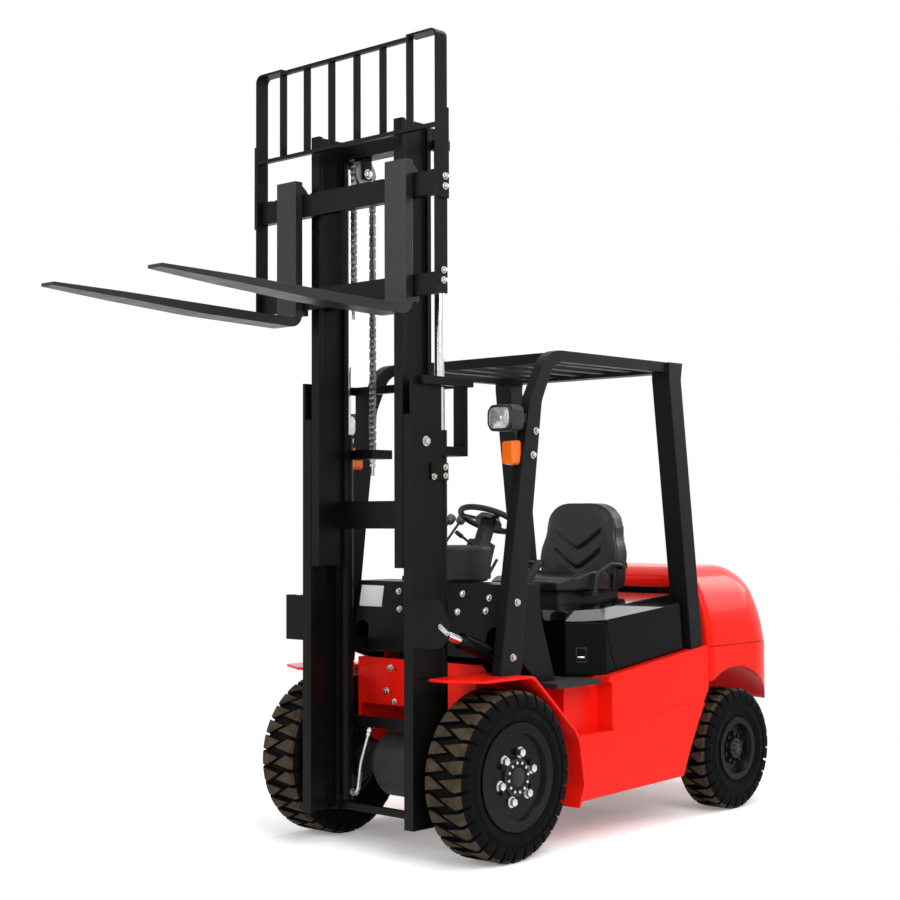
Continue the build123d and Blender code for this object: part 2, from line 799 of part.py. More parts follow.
with BuildPart() as seat_back:
    plate_x(-back_half_width, back_half_width,
            [(cushion_back + 1, seat_z), (base_back, seat_z), (base_back + 18, seat_back_top),
             (cushion_back + 20, seat_back_top)])
    fillet(seat_back.edges().filter_by(Axis.X), 25)
    with BuildSketch(side(back_half_width - bolster_width)):
        with BuildLine():
            Polyline((cushion_back + 12, seat_z + 110), (cushion_back - 8, seat_z + 156),
                     (cushion_back - 2, seat_z + 300), (cushion_back + 22, seat_z + 356), close=True)
        make_face()
    roll = extrude(amount=bolster_width)
    mirror(roll, about=Plane.YZ)
    with BuildSketch(Plane(origin=(0, front_axle_y + cushion_back, 0), x_dir=(1, 0, 0),
                           z_dir=(0, -1, 0))) as face:
        with BuildLine():
            FilletPolyline((-back_half_width, seat_z), (back_half_width, seat_z),
                           (back_half_width - back_taper, seat_back_top),
                           (-back_half_width + back_taper, seat_back_top),
                           radius=(0, 0, back_corner, back_corner), close=True)
        make_face()
    extrude(face.sketch, amount=cushion_depth, both=True, mode=Mode.INTERSECT)
save(seat_back, "seat_back")

hip_x = seat_half_width + 6 + hip_bar_radius
hip_foot = cushion_back - 210
hip_pivot_z = seat_z + 115
with BuildPart() as seat_wings:
    with BuildLine(side(hip_x)) as hip_line:
        FilletPolyline((cushion_back + 20, hip_pivot_z), (cushion_back - 75, hip_pivot_z + 8),
                       (hip_foot + 25, seat_z + 80), (hip_foot, seat_z - 22), radius=40)
    with BuildSketch(Plane(origin=hip_line.line @ 0, z_dir=hip_line.line % 0)):
        Circle(hip_bar_radius)
    sweep(path=hip_line.line)
    rod_x(back_half_width, hip_x + hip_bar_radius, cushion_back + 22, hip_pivot_z, 20)
    block(seat_base_half, hip_x + hip_bar_radius, hip_foot - 25, hip_foot + 25, seat_z - 24, seat_z - 2)
    mirror(about=Plane.YZ)
save(seat_wings, "seat_wings")

# Overhead guard: leaning front legs, roof rails and wider rear legs.
leg_bend = 2080
leg_knee = 974
foot_back = tank_back - 24
with BuildPart() as guard_sides:
    with BuildSketch(side(guard_half_width - guard_leg_width)):
        with BuildLine():
            FilletPolyline((leg_foot_front, fender_top), (leg_foot_front + 110, 1452), (182, 1931),
                           (310, guard_top), (guard_back, guard_top), (guard_back, guard_top - guard_rail),
                           (350, guard_top - guard_rail), (262, 1931), (197, 1452),
                           (leg_foot_back, fender_top),
                           radius=(0, 400, 120, 150, 0, 0, 110, 100, 400, 0), close=True)
        make_face()
    extrude(amount=guard_leg_width)
    with BuildSketch(side(guard_rear_half_width - guard_rear_leg)):
        with BuildLine():
            Polyline((guard_back - 109, guard_top), (guard_back, guard_top), (guard_back - 13, leg_bend),
                     (hood_back + 81, leg_knee), (foot_back, tank_top(foot_back)),
                     (foot_back - 95, tank_top(foot_back - 95)), (hood_back - 14, leg_knee),
                     (guard_back - 109, leg_bend), close=True)
        make_face()
    extrude(amount=guard_rear_leg)
    mirror(about=Plane.YZ)
save(guard_sides, "guard_sides")

rail_inner = guard_half_width - guard_leg_width
rear_leg_inner = guard_rear_half_width - guard_rear_leg
bar_z0 = guard_top - guard_rail
roof_back = guard_back - 99
with BuildPart() as guard_roof:
    with BuildSketch(plan(bar_z0)):
        with BuildLine():
            FilletPolyline((-rail_inner, 640), (-rail_inner, roof_front), (rail_inner, roof_front),
                           (rail_inner, 640), radius=90)
            offset(amount=-roof_bar, side=Side.LEFT)
        make_face()
    extrude(amount=guard_rail - 3)
    block(-rear_leg_inner, rear_leg_inner, roof_back, guard_back - 13, bar_z0, guard_top - 3)
    with Locations((0, front_axle_y + (roof_front + roof_bar + roof_back) / 2,
                    guard_top - 3 - slat_height / 2)):
        with GridLocations(2 * rail_inner / (slats + 1), 1, slats, 1):
            Box(slat_width, roof_back - roof_front - roof_bar, slat_height)
save(guard_roof, "guard_roof")

# Lamps on the front legs and in the counterweight.
head_x = 466
head_z = 1853
head_width = 132
head_height = 113
head_front = 62
head_back = 150
bezel = 10
bracket_width = 36
signal_x = 482
signal_z = 1705
signal_width = 64
signal_height = 108
signal_front = 84
signal_back = 138
with BuildPart() as headlamps:
    with Locations((head_x, front_axle_y + (head_front + head_back) / 2, head_z)):
        Box(head_width, head_back - head_front, head_height)
    fillet(headlamps.edges().filter_by(Axis.Y), 26)
    fillet(headlamps.faces().sort_by(Axis.Y)[-1].edges(), 22)
    block(rail_inner + 6, rail_inner + 6 + bracket_width, head_back - 10, head_back + 60,
          head_z - 20, head_z + 20)
    mirror(about=Plane.YZ)
    add(guard_sides.part, mode=Mode.SUBTRACT)
save(headlamps, "headlamps")

with BuildPart() as headlamp_lenses:
    with Locations((head_x, front_axle_y + head_front - 4, head_z)):
        Box(head_width - 2 * bezel, 8, head_height - 2 * bezel)
    fillet(headlamp_lenses.edges().filter_by(Axis.Y), 18)
    mirror(about=Plane.YZ)
save(headlamp_lenses, "headlamp_lenses")

with BuildPart() as turn_signals:
    with BuildSketch(Plane(origin=(signal_x, front_axle_y + signal_back, signal_z), x_dir=(1, 0, 0),
                           z_dir=(0, -1, 0))):
        RectangleRounded(signal_width, signal_height, 16)
    extrude(amount=signal_back - signal_front, taper=6)
    block(rail_inner + 6, rail_inner + 6 + bracket_width / 2, signal_back - 8, signal_back + 50,
          signal_z - 18, signal_z + 18)
    mirror(about=Plane.YZ)
    add(guard_sides.part, mode=Mode.SUBTRACT)
save(turn_signals, "turn_signals")

with BuildPart() as tail_lamps:
    block(tail_lamp_x - lamp_half, tail_lamp_x + lamp_half, lamp_face - lamp_depth, lamp_face,
          lamp_base, lamp_base + lamp_height)
    mirror(about=Plane.YZ)
save(tail_lamps, "tail_lamps")

# Steering column on a round console, and the wheel on its shaft.
column_axis = (0, sin(radians(column_lean)), cos(radians(column_lean)))
wheel_plane = Plane(origin=(0, front_axle_y + wheel_y, wheel_z), x_dir=(1, 0, 0), z_dir=column_axis)
drum_y = 300
drum_radius = 150
drum_bottom = cowl_top + 12
drum_top = cowl_top + 163
with BuildPart() as steering_console:
    rod_z(0, drum_y, drum_bottom, drum_top, drum_radius)
    fillet(steering_console.edges().sort_by(Axis.Z)[-1], 22)
    rod_z(0, drum_y, cowl_top, drum_bottom, drum_radius - 28)
    with BuildSketch(wheel_plane.offset(-330)) as cover:
        Rectangle(150, 128)
        chamfer(cover.vertices(), 30)
    extrude(amount=210, taper=4)
    with BuildSketch(wheel_plane.offset(-140)):
        Circle(column_radius)
    extrude(amount=100)
    split(bisect_by=Plane.XY.offset(cowl_top), keep=Keep.TOP)
    stalk = Plane(origin=(80, front_axle_y + drum_y + 24, drum_top - 4), x_dir=(1, 0, 0), z_dir=(0, -93, 50))
    with BuildSketch(stalk):
        Circle(6)
    extrude(amount=130)
    with BuildSketch(stalk.offset(96)):
        Circle(10)
    extrude(amount=40)
    knob = Plane(origin=(100, front_axle_y + drum_y + 95, drum_bottom + 14), x_dir=(1, 0, 0),
                 z_dir=(0, 60, 70))
    with BuildSketch(knob):
        Circle(7)
    extrude(amount=92)
    with BuildSketch(wheel_plane.offset(-120)):
        Circle(shaft_radius + pin_fit)
    extrude(amount=90, mode=Mode.SUBTRACT)
save(steering_console, "steering_console")

with BuildPart() as steering_wheel:
    with BuildSketch(Plane(origin=wheel_plane.origin, x_dir=(1, 0, 0),
                           z_dir=(0, -wheel_plane.z_dir.Z, wheel_plane.z_dir.Y))):
        with Locations((wheel_radius - wheel_grip, 0)):
            Circle(wheel_grip)
    revolve(axis=Axis(wheel_plane.origin, wheel_plane.z_dir))
    with BuildSketch(wheel_plane.offset(-38)):
        Circle(36)
    extrude(amount=30)
    with BuildSketch(wheel_plane.offset(-14)):
        Circle(66)
    extrude(amount=28, taper=32)
    with BuildSketch(wheel_plane.offset(-12)):
        with PolarLocations(0, 3, start_angle=90):
            with Locations((wheel_radius / 2 - 6, 0)):
                Rectangle(wheel_radius - 28, 24)
    extrude(amount=10)
    with BuildSketch(wheel_plane.offset(-110)):
        Circle(shaft_radius)
    extrude(amount=80)
save(steering_wheel, "steering_wheel")

# Hand levers and pedals.
with BuildPart() as hand_levers:
    for x in (-300, -230):
        block(x - 15, x + 15, 260, cowl_back, cowl_top, cowl_top + 20)
        lever = Plane(origin=(x, front_axle_y + 300, cowl_top + 10), x_dir=(1, 0, 0),
                      z_dir=(0, 270, 262))
        with BuildSketch(lever):
            Circle(6)
        extrude(amount=380)
        with Locations(lever.offset(385)):
            Sphere(20)
    block(285, 315, cowl_back, cowl_back + 16, 1040, 1070)
    grip = Plane(origin=(300, front_axle_y + cowl_back + 8, 1055), x_dir=(1, 0, 0), z_dir=(0, 135, 130))
    with BuildSketch(grip):
        Circle(8)
    extrude(amount=230)
    with BuildSketch(grip.offset(110)):
        Circle(16)
    extrude(amount=130)
save(hand_levers, "hand_levers")

toe = Plane(origin=(0, front_axle_y + (cowl_back + toe_back) / 2, (toe_z + floor_z) / 2),
            x_dir=(1, 0, 0), z_dir=(0, toe_z - floor_z, toe_back - cowl_back))
with BuildPart() as pedals:
    for x in (-190, 90):
        with BuildSketch(toe):
            with Locations((x, 0)):
                Rectangle(24, 40)
        extrude(amount=60)
        with BuildSketch(toe.offset(60)):
            with Locations((x, 0)):
                RectangleRounded(80, 110, 14)
        extrude(amount=14)
save(pedals, "pedals")


# Outer rails: channels with a roller at the top, feet on the axle and tilt ears.
foot_z = front_tyre_radius
with BuildPart() as mast_outer_rails:
    with BuildSketch(plan(mast_bottom)):
        with Locations((outer_rail_x - outer_flange / 2, -mast_mid)):
            Rectangle(outer_flange, rail_depth)
        with Locations((outer_rail_x - outer_flange / 2 - web / 2, -mast_mid)):
            Rectangle(outer_flange - web, rail_depth - 2 * flange, mode=Mode.SUBTRACT)
    extrude(amount=outer_top - mast_bottom)
    block(outer_inner_x, outer_rail_x - web, -mast_front, -mast_front + flange,
          outer_top - roller_notch, outer_top, Mode.SUBTRACT)
    rod_x(inner_mid_x + web / 2 + moving_gap, outer_rail_x - web, -mast_mid, outer_top - 75, roller_radius)
    with BuildSketch(side(outer_rail_x - web)):
        with BuildLine():
            Polyline((-mast_back, foot_z - 150), (-mast_back, foot_z + 285), (30, foot_z + 145),
                     (60, foot_z + 60), (20, foot_z - 84), close=True)
        make_face()
    extrude(amount=web)
    rod_x(outer_inner_x, outer_rail_x, 0, foot_z, foot_radius)
    rod_x(outer_inner_x, outer_rail_x, 0, foot_z, axle_tube_radius + pin_fit, Mode.SUBTRACT)
    with BuildSketch(side(tilt_x - tilt_eye_width / 2 - moving_gap - ear_plate)):
        with BuildLine():
            FilletPolyline((ear_front, ear_low), (ear_front, ear_high), (ear_front + 40, ear_high),
                           (tilt_pin_y + 45, tilt_pin_z + 30), (tilt_pin_y + 45, tilt_pin_z - 35),
                           (ear_front + 40, ear_low), radius=(0, 0, 25, 32, 32, 25), close=True)
        make_face()
    ear = extrude(amount=ear_plate)
    mirror(ear, about=Plane.YZ.offset(tilt_x))
    block(outer_rail_x, tilt_x + tilt_eye_width / 2 + moving_gap + ear_plate, ear_front - 12, ear_front,
          ear_low, ear_high)
    rod_x(tilt_x - 30, tilt_x + 30, tilt_pin_y, tilt_pin_z, tilt_pin_radius)
    mirror(about=Plane.YZ)
save(mast_outer_rails, "mast_outer_rails")

chain_back_y = -pulley_y + groove_radius + slide_gap
with BuildPart() as mast_outer_ties:
    block(0, outer_rail_x, -mast_back + moving_gap, -mast_back + moving_gap + foot_tie, mast_bottom,
          mast_bottom + foot_tie_height)
    block(outer_inner_x, outer_rail_x, -mast_back, -mast_back + moving_gap, mast_bottom,
          mast_bottom + foot_tie_height)
    block(0, outer_rail_x - web, -88, -60, foot_z + diff_radius, foot_z + diff_radius + 45)
    block(outer_rail_x, outer_rail_x + tie_arm, -304, tie_back, tie_z, tie_z + tie_height)
    block(0, outer_rail_x + tie_arm, tie_back - 30, tie_back, tie_z, tie_z + tie_height)
    block(outer_inner_x, outer_rail_x, -mast_back, 0, clamp_z, clamp_z + clamp_height)
    block(pulley_x - 30, outer_inner_x, -mast_back + 40, 0, clamp_z, clamp_z + clamp_height)
    block(270, outer_rail_x, tie_back - 30, tie_back - 10, clamp_z, tie_z)
    rod_z(lift_x, -lift_y, clamp_z, clamp_z + clamp_height, lift_barrel_radius + pin_fit, Mode.SUBTRACT)
    mirror(about=Plane.YZ)
save(mast_outer_ties, "mast_outer_ties")

# Oil pipe from the right barrel's foot up to the lower tie.
pipe_port = 25
pipe_x = 215
pipe_radius = 9
pipe_short = 2
pipe_rise = foot_z + diff_radius - lift_bottom - 18
pipe_back = lift_y - 80
pipe_run = hypot(pipe_rise, pipe_back) - pipe_short
pipe_plane = Plane(origin=(0, front_axle_y - lift_y, lift_bottom + 18), x_dir=(1, 0, 0),
                   z_dir=(0, -pipe_rise, pipe_back))
with BuildPart() as lift_barrels:
    rod_z(lift_x, -lift_y, lift_bottom, lift_barrel_top, lift_barrel_radius)
    rod_z(lift_x, -lift_y, lift_bottom + 20, lift_barrel_top, lift_rod_radius + slide_gap, Mode.SUBTRACT)
    block(outer_inner_x, outer_rail_x, -mast_back, -lift_y, lift_bottom - 20, lift_bottom)
    rod_z(lift_x, -lift_y, lift_bottom - 20, lift_bottom, lift_barrel_radius)
    mirror(about=Plane.YZ)
    with BuildLine(pipe_plane) as pipe_line:
        FilletPolyline((pipe_port - lift_x, 0), (-pipe_x, 0), (-pipe_x, 0.45 * pipe_run),
                       (-pipe_x + 35, pipe_run), radius=28)
    with BuildSketch(Plane(origin=pipe_line.line @ 0, z_dir=pipe_line.line % 0)):
        Circle(pipe_radius)
    sweep(path=pipe_line.line)
save(lift_barrels, "lift_barrels")

with BuildPart() as mast_inner_rails:
    with BuildSketch(plan(inner_bottom)):
        with Locations((inner_mid_x, -mast_mid)):
            Rectangle(web, rail_depth)
        for y in (-mast_front + flange / 2, -mast_back - flange / 2):
            with Locations((inner_mid_x, y)):
                Rectangle(inner_rail_width, flange)
    extrude(amount=inner_top - inner_bottom)
    rod_x(inner_mid_x, outer_rail_x - web - moving_gap, -mast_mid, inner_bottom + 75, roller_radius)
    mirror(about=Plane.YZ)
save(mast_inner_rails, "mast_inner_rails")

bracket = 10
top_tie_z = pulley_z + pulley_radius + 10
with BuildPart() as mast_inner_ties:
    block(0, inner_inner_x, -mast_back - crossbar_thickness, -mast_back, crossbar_low,
          crossbar_low + crossbar_height)
    block(0, inner_outer_x, -mast_back, -pulley_y + 50, top_tie_z, top_tie_z + top_tie_height)
    block(0, inner_inner_x, -mast_back - crossbar_thickness, -mast_back, top_tie_z,
          top_tie_z + top_tie_height)
    block(inner_outer_x - 20, lift_x + 34, -mast_back + moving_gap, -lift_y + 34, lift_head, lift_head + 40)
    for x in (pulley_x - chain_width / 2 - 5 - bracket - 1, pulley_x + chain_width / 2 + 6):
        block(x, x + bracket, -pulley_y - 24, -pulley_y + 24, pulley_z - 24, top_tie_z)
    rod_x(pulley_x - chain_width / 2 - 16, pulley_x + chain_width / 2 + 16, -pulley_y, pulley_z, 14)
    mirror(about=Plane.YZ)
save(mast_inner_ties, "mast_inner_ties")

with BuildPart() as lift_rods:
    rod_z(lift_x, -lift_y, lift_rod_bottom, lift_head, lift_rod_radius)
    mirror(about=Plane.YZ)
save(lift_rods, "lift_rods")

with BuildPart() as chain_wheels:
    rod_x(pulley_x - chain_width / 2 - 5, pulley_x + chain_width / 2 + 5, -pulley_y, pulley_z, pulley_radius)
    with BuildSketch(side(pulley_x - chain_width / 2 - 1)):
        with Locations((-pulley_y, pulley_z)):
            Circle(pulley_radius + 5)
            Circle(groove_radius, mode=Mode.SUBTRACT)
    extrude(amount=chain_width + 2, mode=Mode.SUBTRACT)
    rod_x(pulley_x - 40, pulley_x + 40, -pulley_y, pulley_z, 14 + pin_fit, Mode.SUBTRACT)
    mirror(about=Plane.YZ)
save(chain_wheels, "chain_wheels")

chain_inner = groove_radius + slide_gap
chain_outer = chain_inner + chain_thickness


# The crown of a chain lies on its wheel as flats, one to a link.
def crown_line(radius):
    turn = 180 / crown_links
    corner = radius / cos(radians(turn / 2))
    line = [(radius - pulley_y, pulley_z)]
    for k in range(crown_links):
        angle = radians((k + 0.5) * turn)
        line.append((corner * cos(angle) - pulley_y, corner * sin(angle) + pulley_z))
    return line + [(-radius - pulley_y, pulley_z)]


with BuildPart() as chain_crowns:
    plate_x(pulley_x - chain_width / 2, pulley_x + chain_width / 2,
            crown_line(chain_outer) + crown_line(chain_inner)[::-1])
    mirror(about=Plane.YZ)
save(chain_crowns, "chain_crowns")


# A strand of leaf chain: its inner plates as a core, the wider outer links fused round it.
def strand(y0, y1, z0, z1):
    block(pulley_x - chain_core / 2, pulley_x + chain_core / 2, y0 + chain_relief, y1 - chain_relief, z0, z1)
    for k in range(int((z1 - z0) / (2 * chain_pitch))):
        top = z1 - 2 * k * chain_pitch - chain_relief
        block(pulley_x - chain_width / 2, pulley_x + chain_width / 2, y0, y1, top - link_height, top)


with BuildPart() as back_chains:
    strand(chain_inner - pulley_y, chain_outer - pulley_y, clamp_z + clamp_height, pulley_z)
    mirror(about=Plane.YZ)
save(back_chains, "back_chains")

with BuildPart() as front_chains:
    strand(-chain_outer - pulley_y, -chain_inner - pulley_y, anchor_z, pulley_z)
    mirror(about=Plane.YZ)
save(front_chains, "front_chains")

# Carriage: two fork bars on side plates with rollers.
with BuildPart() as carriage_frame:
    plate_x(-bar_half_width, bar_half_width,
            [(-bar_front, carriage_top), (-bar_front + bar_lip, carriage_top),
             (-bar_front + bar_lip, carriage_top - bar_lip), (-bar_back, carriage_top - bar_lip),
             (-bar_back, carriage_top - upper_bar_height), (-bar_front, carriage_top - upper_bar_height)])
    plate_x(-bar_half_width, bar_half_width,
            [(-bar_front, carriage_bottom), (-bar_front + bar_lip, carriage_bottom),
             (-bar_front + bar_lip, carriage_bottom + bar_lip), (-bar_back, carriage_bottom + bar_lip),
             (-bar_back, carriage_bottom + lower_bar_height),
             (-bar_front, carriage_bottom + lower_bar_height)])
    block(side_plate_x, side_plate_x + side_plate, -bar_back, -200, carriage_bottom + bar_lip,
          carriage_top - bar_lip)
    for z in (anchor_z, anchor_z + roller_rise):
        rod_x(side_plate_x + side_plate, inner_mid_x - web / 2 - moving_gap, -mast_mid, z, roller_radius)
    block(pulley_x - 20, side_plate_x, -pulley_y - chain_outer - 8, -pulley_y - groove_radius + 2,
          anchor_z - 24, anchor_z)
    mirror(about=Plane.YZ)
    with Locations((0, front_axle_y - bar_front + bar_lip / 2, carriage_top - notch_depth / 2)):
        with GridLocations(2 * bar_half_width / (bar_notches + 1), 1, bar_notches, 1):
            Box(notch_width, bar_lip, notch_depth, mode=Mode.SUBTRACT)
save(carriage_frame, "carriage_frame")

# Load backrest: end plates, two cross bars and upright bars.
rest_front = fork_face - 15
rest_back = rest_front - backrest_depth
pitch = 2 * bar_half_width / (backrest_bars + 1)
first_bar = bar_half_width - pitch
rest_end = bar_half_width + backrest_plate
with BuildPart() as load_backrest:
    with BuildSketch(Plane(origin=(0, front_axle_y - rest_back, 0), x_dir=(1, 0, 0), z_dir=(0, -1, 0))):
        with BuildLine():
            FilletPolyline((rest_end, carriage_bottom), (rest_end, backrest_top),
                           (first_bar - 5, backrest_top), radius=backrest_bend)
            offset(amount=-backrest_plate, side=Side.LEFT)
        make_face()
    extrude(amount=backrest_depth)
    block(rest_end, rest_end + backrest_plate, -rest_front, -rest_back, carriage_top - bracket_drop,
          carriage_top + bracket_rise)
    mirror(about=Plane.YZ)
    block(-bar_half_width, bar_half_width, -rest_front, -rest_front + 22, backrest_low_bar - 16,
          backrest_low_bar)
    block(-first_bar, first_bar, -rest_front, -rest_front + 22, backrest_top - backrest_step - 16,
          backrest_top - backrest_step)
    with Locations((0, front_axle_y - rest_front + backrest_bar_depth / 2,
                    (backrest_low_bar + backrest_top - 2 * backrest_step) / 2)):
        with GridLocations(pitch, 1, backrest_bars, 1):
            Box(10, backrest_bar_depth, backrest_top - backrest_low_bar)
save(load_backrest, "load_backrest")

# Forks: shank with hooks, rounded heel and a blade that thins to its tip.
tip = fork_face + fork_length
shank_back = fork_face - fork_thickness
hook_top = carriage_top + slide_gap
hook_bottom = carriage_bottom - slide_gap
hook_back = bar_front - bar_lip - slide_gap
with BuildPart() as fork_left:
    with BuildSketch(side(fork_centre_x - fork_width / 2)):
        with BuildLine():
            FilletPolyline((-shank_back, fork_base_z), (-shank_back, fork_base_z + fork_height),
                           (-fork_face, fork_base_z + fork_height),
                           (-fork_face, fork_base_z + fork_thickness),
                           (-tip, fork_base_z + fork_thickness + fork_rise),
                           (-tip, fork_base_z + fork_thickness + fork_rise - fork_tip),
                           (-fork_face - fork_bend, fork_base_z + fork_rise * fork_bend / fork_length),
                           radius=(60, 0, 0, 20, 5, 5, 0), close=True)
        make_face()
    extrude(amount=fork_width)
    plate_x(fork_centre_x - fork_width / 2, fork_centre_x + fork_width / 2,
            [(-shank_back, hook_top), (-shank_back, hook_top + 40), (-hook_back + 6, hook_top + 22),
             (-hook_back + 18, hook_top + 8), (-hook_back + 18, hook_top - bar_lip + 1),
             (-hook_back, hook_top - bar_lip + 1), (-hook_back, hook_top)])
    plate_x(fork_centre_x - fork_width / 2, fork_centre_x + fork_width / 2,
            [(-shank_back, hook_bottom), (-shank_back, hook_bottom - 22),
             (-hook_back + 18, hook_bottom - 22), (-hook_back + 18, hook_bottom + bar_lip - 1),
             (-hook_back, hook_bottom + bar_lip - 1), (-hook_back, hook_bottom)])
    for sign in (-1, 1):
        with BuildSketch(plan(fork_base_z)):
            with BuildLine():
                Polyline((fork_centre_x + sign * fork_width / 2, -tip + 320),
                         (fork_centre_x + sign * 38, -tip),
                         (fork_centre_x + sign * fork_width / 2, -tip), close=True)
            make_face()
        extrude(amount=fork_thickness + fork_rise, mode=Mode.SUBTRACT)
save(fork_left, "fork_left")

with BuildPart() as fork_right:
    mirror(fork_left.part, about=Plane.YZ)
save(fork_right, "fork_right")

# Tilt cylinders between the chassis and the mast.
tilt_run = hypot(tilt_pin_y - tilt_base_y, tilt_pin_z - tilt_base_z)
tilt_dir = (0, (tilt_pin_y - tilt_base_y) / tilt_run, (tilt_pin_z - tilt_base_z) / tilt_run)
tilt_plane = Plane(origin=(tilt_x, front_axle_y + tilt_base_y, tilt_base_z), x_dir=(1, 0, 0),
                   z_dir=tilt_dir)
with BuildPart() as tilt_barrels:
    with BuildSketch(tilt_plane.offset(20)):
        Circle(tilt_barrel_radius)
    extrude(amount=tilt_barrel_end - 20)
    with BuildSketch(tilt_plane.offset(80)):
        Circle(tilt_rod_radius + slide_gap)
    extrude(amount=tilt_barrel_end, mode=Mode.SUBTRACT)
    rod_x(tilt_x - 20, tilt_x + 20, tilt_base_y, tilt_base_z, 32)
    rod_x(tilt_x - 50, tilt_x + 50, tilt_base_y, tilt_base_z, tilt_pin_radius + pin_fit, Mode.SUBTRACT)
    mirror(about=Plane.YZ)
save(tilt_barrels, "tilt_barrels")

with BuildPart() as tilt_rods:
    with BuildSketch(tilt_plane.offset(240)):
        Circle(tilt_rod_radius)
    extrude(amount=tilt_run - 240)
    rod_x(tilt_x - tilt_eye_width / 2, tilt_x + tilt_eye_width / 2, tilt_pin_y, tilt_pin_z, tilt_eye_radius)
    rod_x(tilt_x - 50, tilt_x + 50, tilt_pin_y, tilt_pin_z, tilt_pin_radius + tilt_eye_play, Mode.SUBTRACT)
    mirror(about=Plane.YZ)
save(tilt_rods, "tilt_rods")
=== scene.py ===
# Forklift truck: finishes, tread, chains, seat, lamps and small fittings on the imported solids
import bpy
import bmesh
import math
from mathutils import Matrix, Vector


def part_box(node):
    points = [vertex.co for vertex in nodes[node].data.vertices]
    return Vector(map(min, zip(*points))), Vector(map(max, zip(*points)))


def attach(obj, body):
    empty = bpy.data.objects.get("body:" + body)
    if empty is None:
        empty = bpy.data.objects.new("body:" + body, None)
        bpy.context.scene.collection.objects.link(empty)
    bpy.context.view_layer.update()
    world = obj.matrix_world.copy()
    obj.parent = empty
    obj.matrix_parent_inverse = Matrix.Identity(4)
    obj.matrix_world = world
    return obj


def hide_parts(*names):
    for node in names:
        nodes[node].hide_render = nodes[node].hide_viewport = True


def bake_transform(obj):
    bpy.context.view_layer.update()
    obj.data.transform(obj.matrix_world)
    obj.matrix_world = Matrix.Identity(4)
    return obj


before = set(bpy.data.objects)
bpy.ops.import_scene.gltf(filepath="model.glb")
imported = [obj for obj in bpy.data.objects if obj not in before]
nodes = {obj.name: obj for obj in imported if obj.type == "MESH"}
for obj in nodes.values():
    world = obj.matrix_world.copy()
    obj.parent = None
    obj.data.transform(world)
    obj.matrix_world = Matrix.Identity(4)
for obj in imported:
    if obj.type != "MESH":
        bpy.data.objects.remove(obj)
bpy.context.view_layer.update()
print("frame loaded:", len(nodes), "nodes")


# A socket of a shader tree: sums and products on it add Math nodes.
class Wire:
    def __init__(self, tree, socket=None):
        self.tree = tree
        self.socket = socket

    def make(self, kind, settings=None, sockets=None, out=0):
        node = self.tree.nodes.new("ShaderNode" + kind)
        for key, value in (settings or {}).items():
            if key == "stops":
                while len(node.color_ramp.elements) < len(value):
                    node.color_ramp.elements.new(1)
                for element, (place, shade) in zip(node.color_ramp.elements, value):
                    element.position = place
                    element.color = (*shade, 1)
            else:
                setattr(node, key, value)
        for key, value in (sockets or {}).items():
            if isinstance(value, Wire):
                self.tree.links.new(value.socket, node.inputs[key])
            else:
                node.inputs[key].default_value = value
        return Wire(self.tree, node.outputs[out]) if node.outputs else None

    def maths(self, operation, first, second):
        return self.make("Math", {"operation": operation}, {0: first, 1: second})

    def __add__(self, other):
        return self.maths("ADD", self, other)

    def __sub__(self, other):
        return self.maths("SUBTRACT", self, other)

    def __rsub__(self, other):
        return self.maths("SUBTRACT", other, self)

    def __mul__(self, other):
        return self.maths("MULTIPLY", self, other)

    __radd__ = __add__
    __rmul__ = __mul__


def noise(tree, size, detail=3.0, rough=0.55):
    place = tree.make("TexCoord", out="Object")
    return tree.make("TexNoise", None, {"Vector": place, "Scale": 1 / size, "Detail": detail,
                                        "Roughness": rough}, "Fac")


def cells(tree, size, feature="F1"):
    place = tree.make("TexCoord", out="Object")
    return tree.make("TexVoronoi", {"feature": feature}, {"Vector": place, "Scale": 1 / size}, "Distance")


def span(tree, value, low, high, start=0.0, end=1.0):
    return tree.make("MapRange", None, {"Value": value, "From Min": low, "From Max": high,
                                        "To Min": start, "To Max": end})


def tint(tree, factor, first, second):
    return tree.make("Mix", {"data_type": "RGBA"}, {0: factor, 6: first, 7: second}, 2)


# A cleared node tree of a material or the world
def emptyTree(owner):
    owner.use_nodes = True
    owner.node_tree.nodes.clear()
    return Wire(owner.node_tree)


# Every finish is a Principled shader: soft edges and grain go to its normal.
def newFinish(name, build, edge=0.0, **fixed):
    material = bpy.data.materials.new(name)
    tree = emptyTree(material)
    shade, rough, height, depth = build(tree)
    sockets = {"Base Color": shade, "Roughness": rough}
    for key, value in fixed.items():
        sockets[key.replace("_", " ")] = value(tree) if callable(value) else value
    bump = {"Height": height, "Distance": depth, "Strength": 1.0}
    if edge:
        bump["Normal"] = tree.make("Bevel", {"samples": 4}, {"Radius": edge}, "Normal")
    sockets["Normal"] = tree.make("Bump", None, bump, "Normal")
    shader = tree.make("BsdfPrincipled", None, sockets)
    tree.make("OutputMaterial", None, {"Surface": shader})
    return material


# Paint dulls in clouds, more of it near the floor
paintWear = {"cloud": 0.45, "cleanAbove": 0.9, "dullBelow": 0.1, "least": 0.03, "most": 0.28, "mottle": 0.08,
             "peelSize": 0.012}


def paintOver(shade, dustShade, rough, peel):
    def build(tree):
        cloud = noise(tree, paintWear["cloud"], 4)
        low = tree.make("SeparateXYZ", None, {0: tree.make("TexCoord", out="Object")}, "Z")
        near = span(tree, low, paintWear["cleanAbove"], paintWear["dullBelow"], paintWear["least"], paintWear["most"])
        film = span(tree, cloud, 0.35, 0.75) * near
        return (tint(tree, film, (*shade, 1), (*dustShade, 1)),
                span(tree, noise(tree, paintWear["mottle"]), 0.3, 0.7, rough - 0.05, rough + 0.06),
                noise(tree, paintWear["peelSize"], 2), peel)
    return build


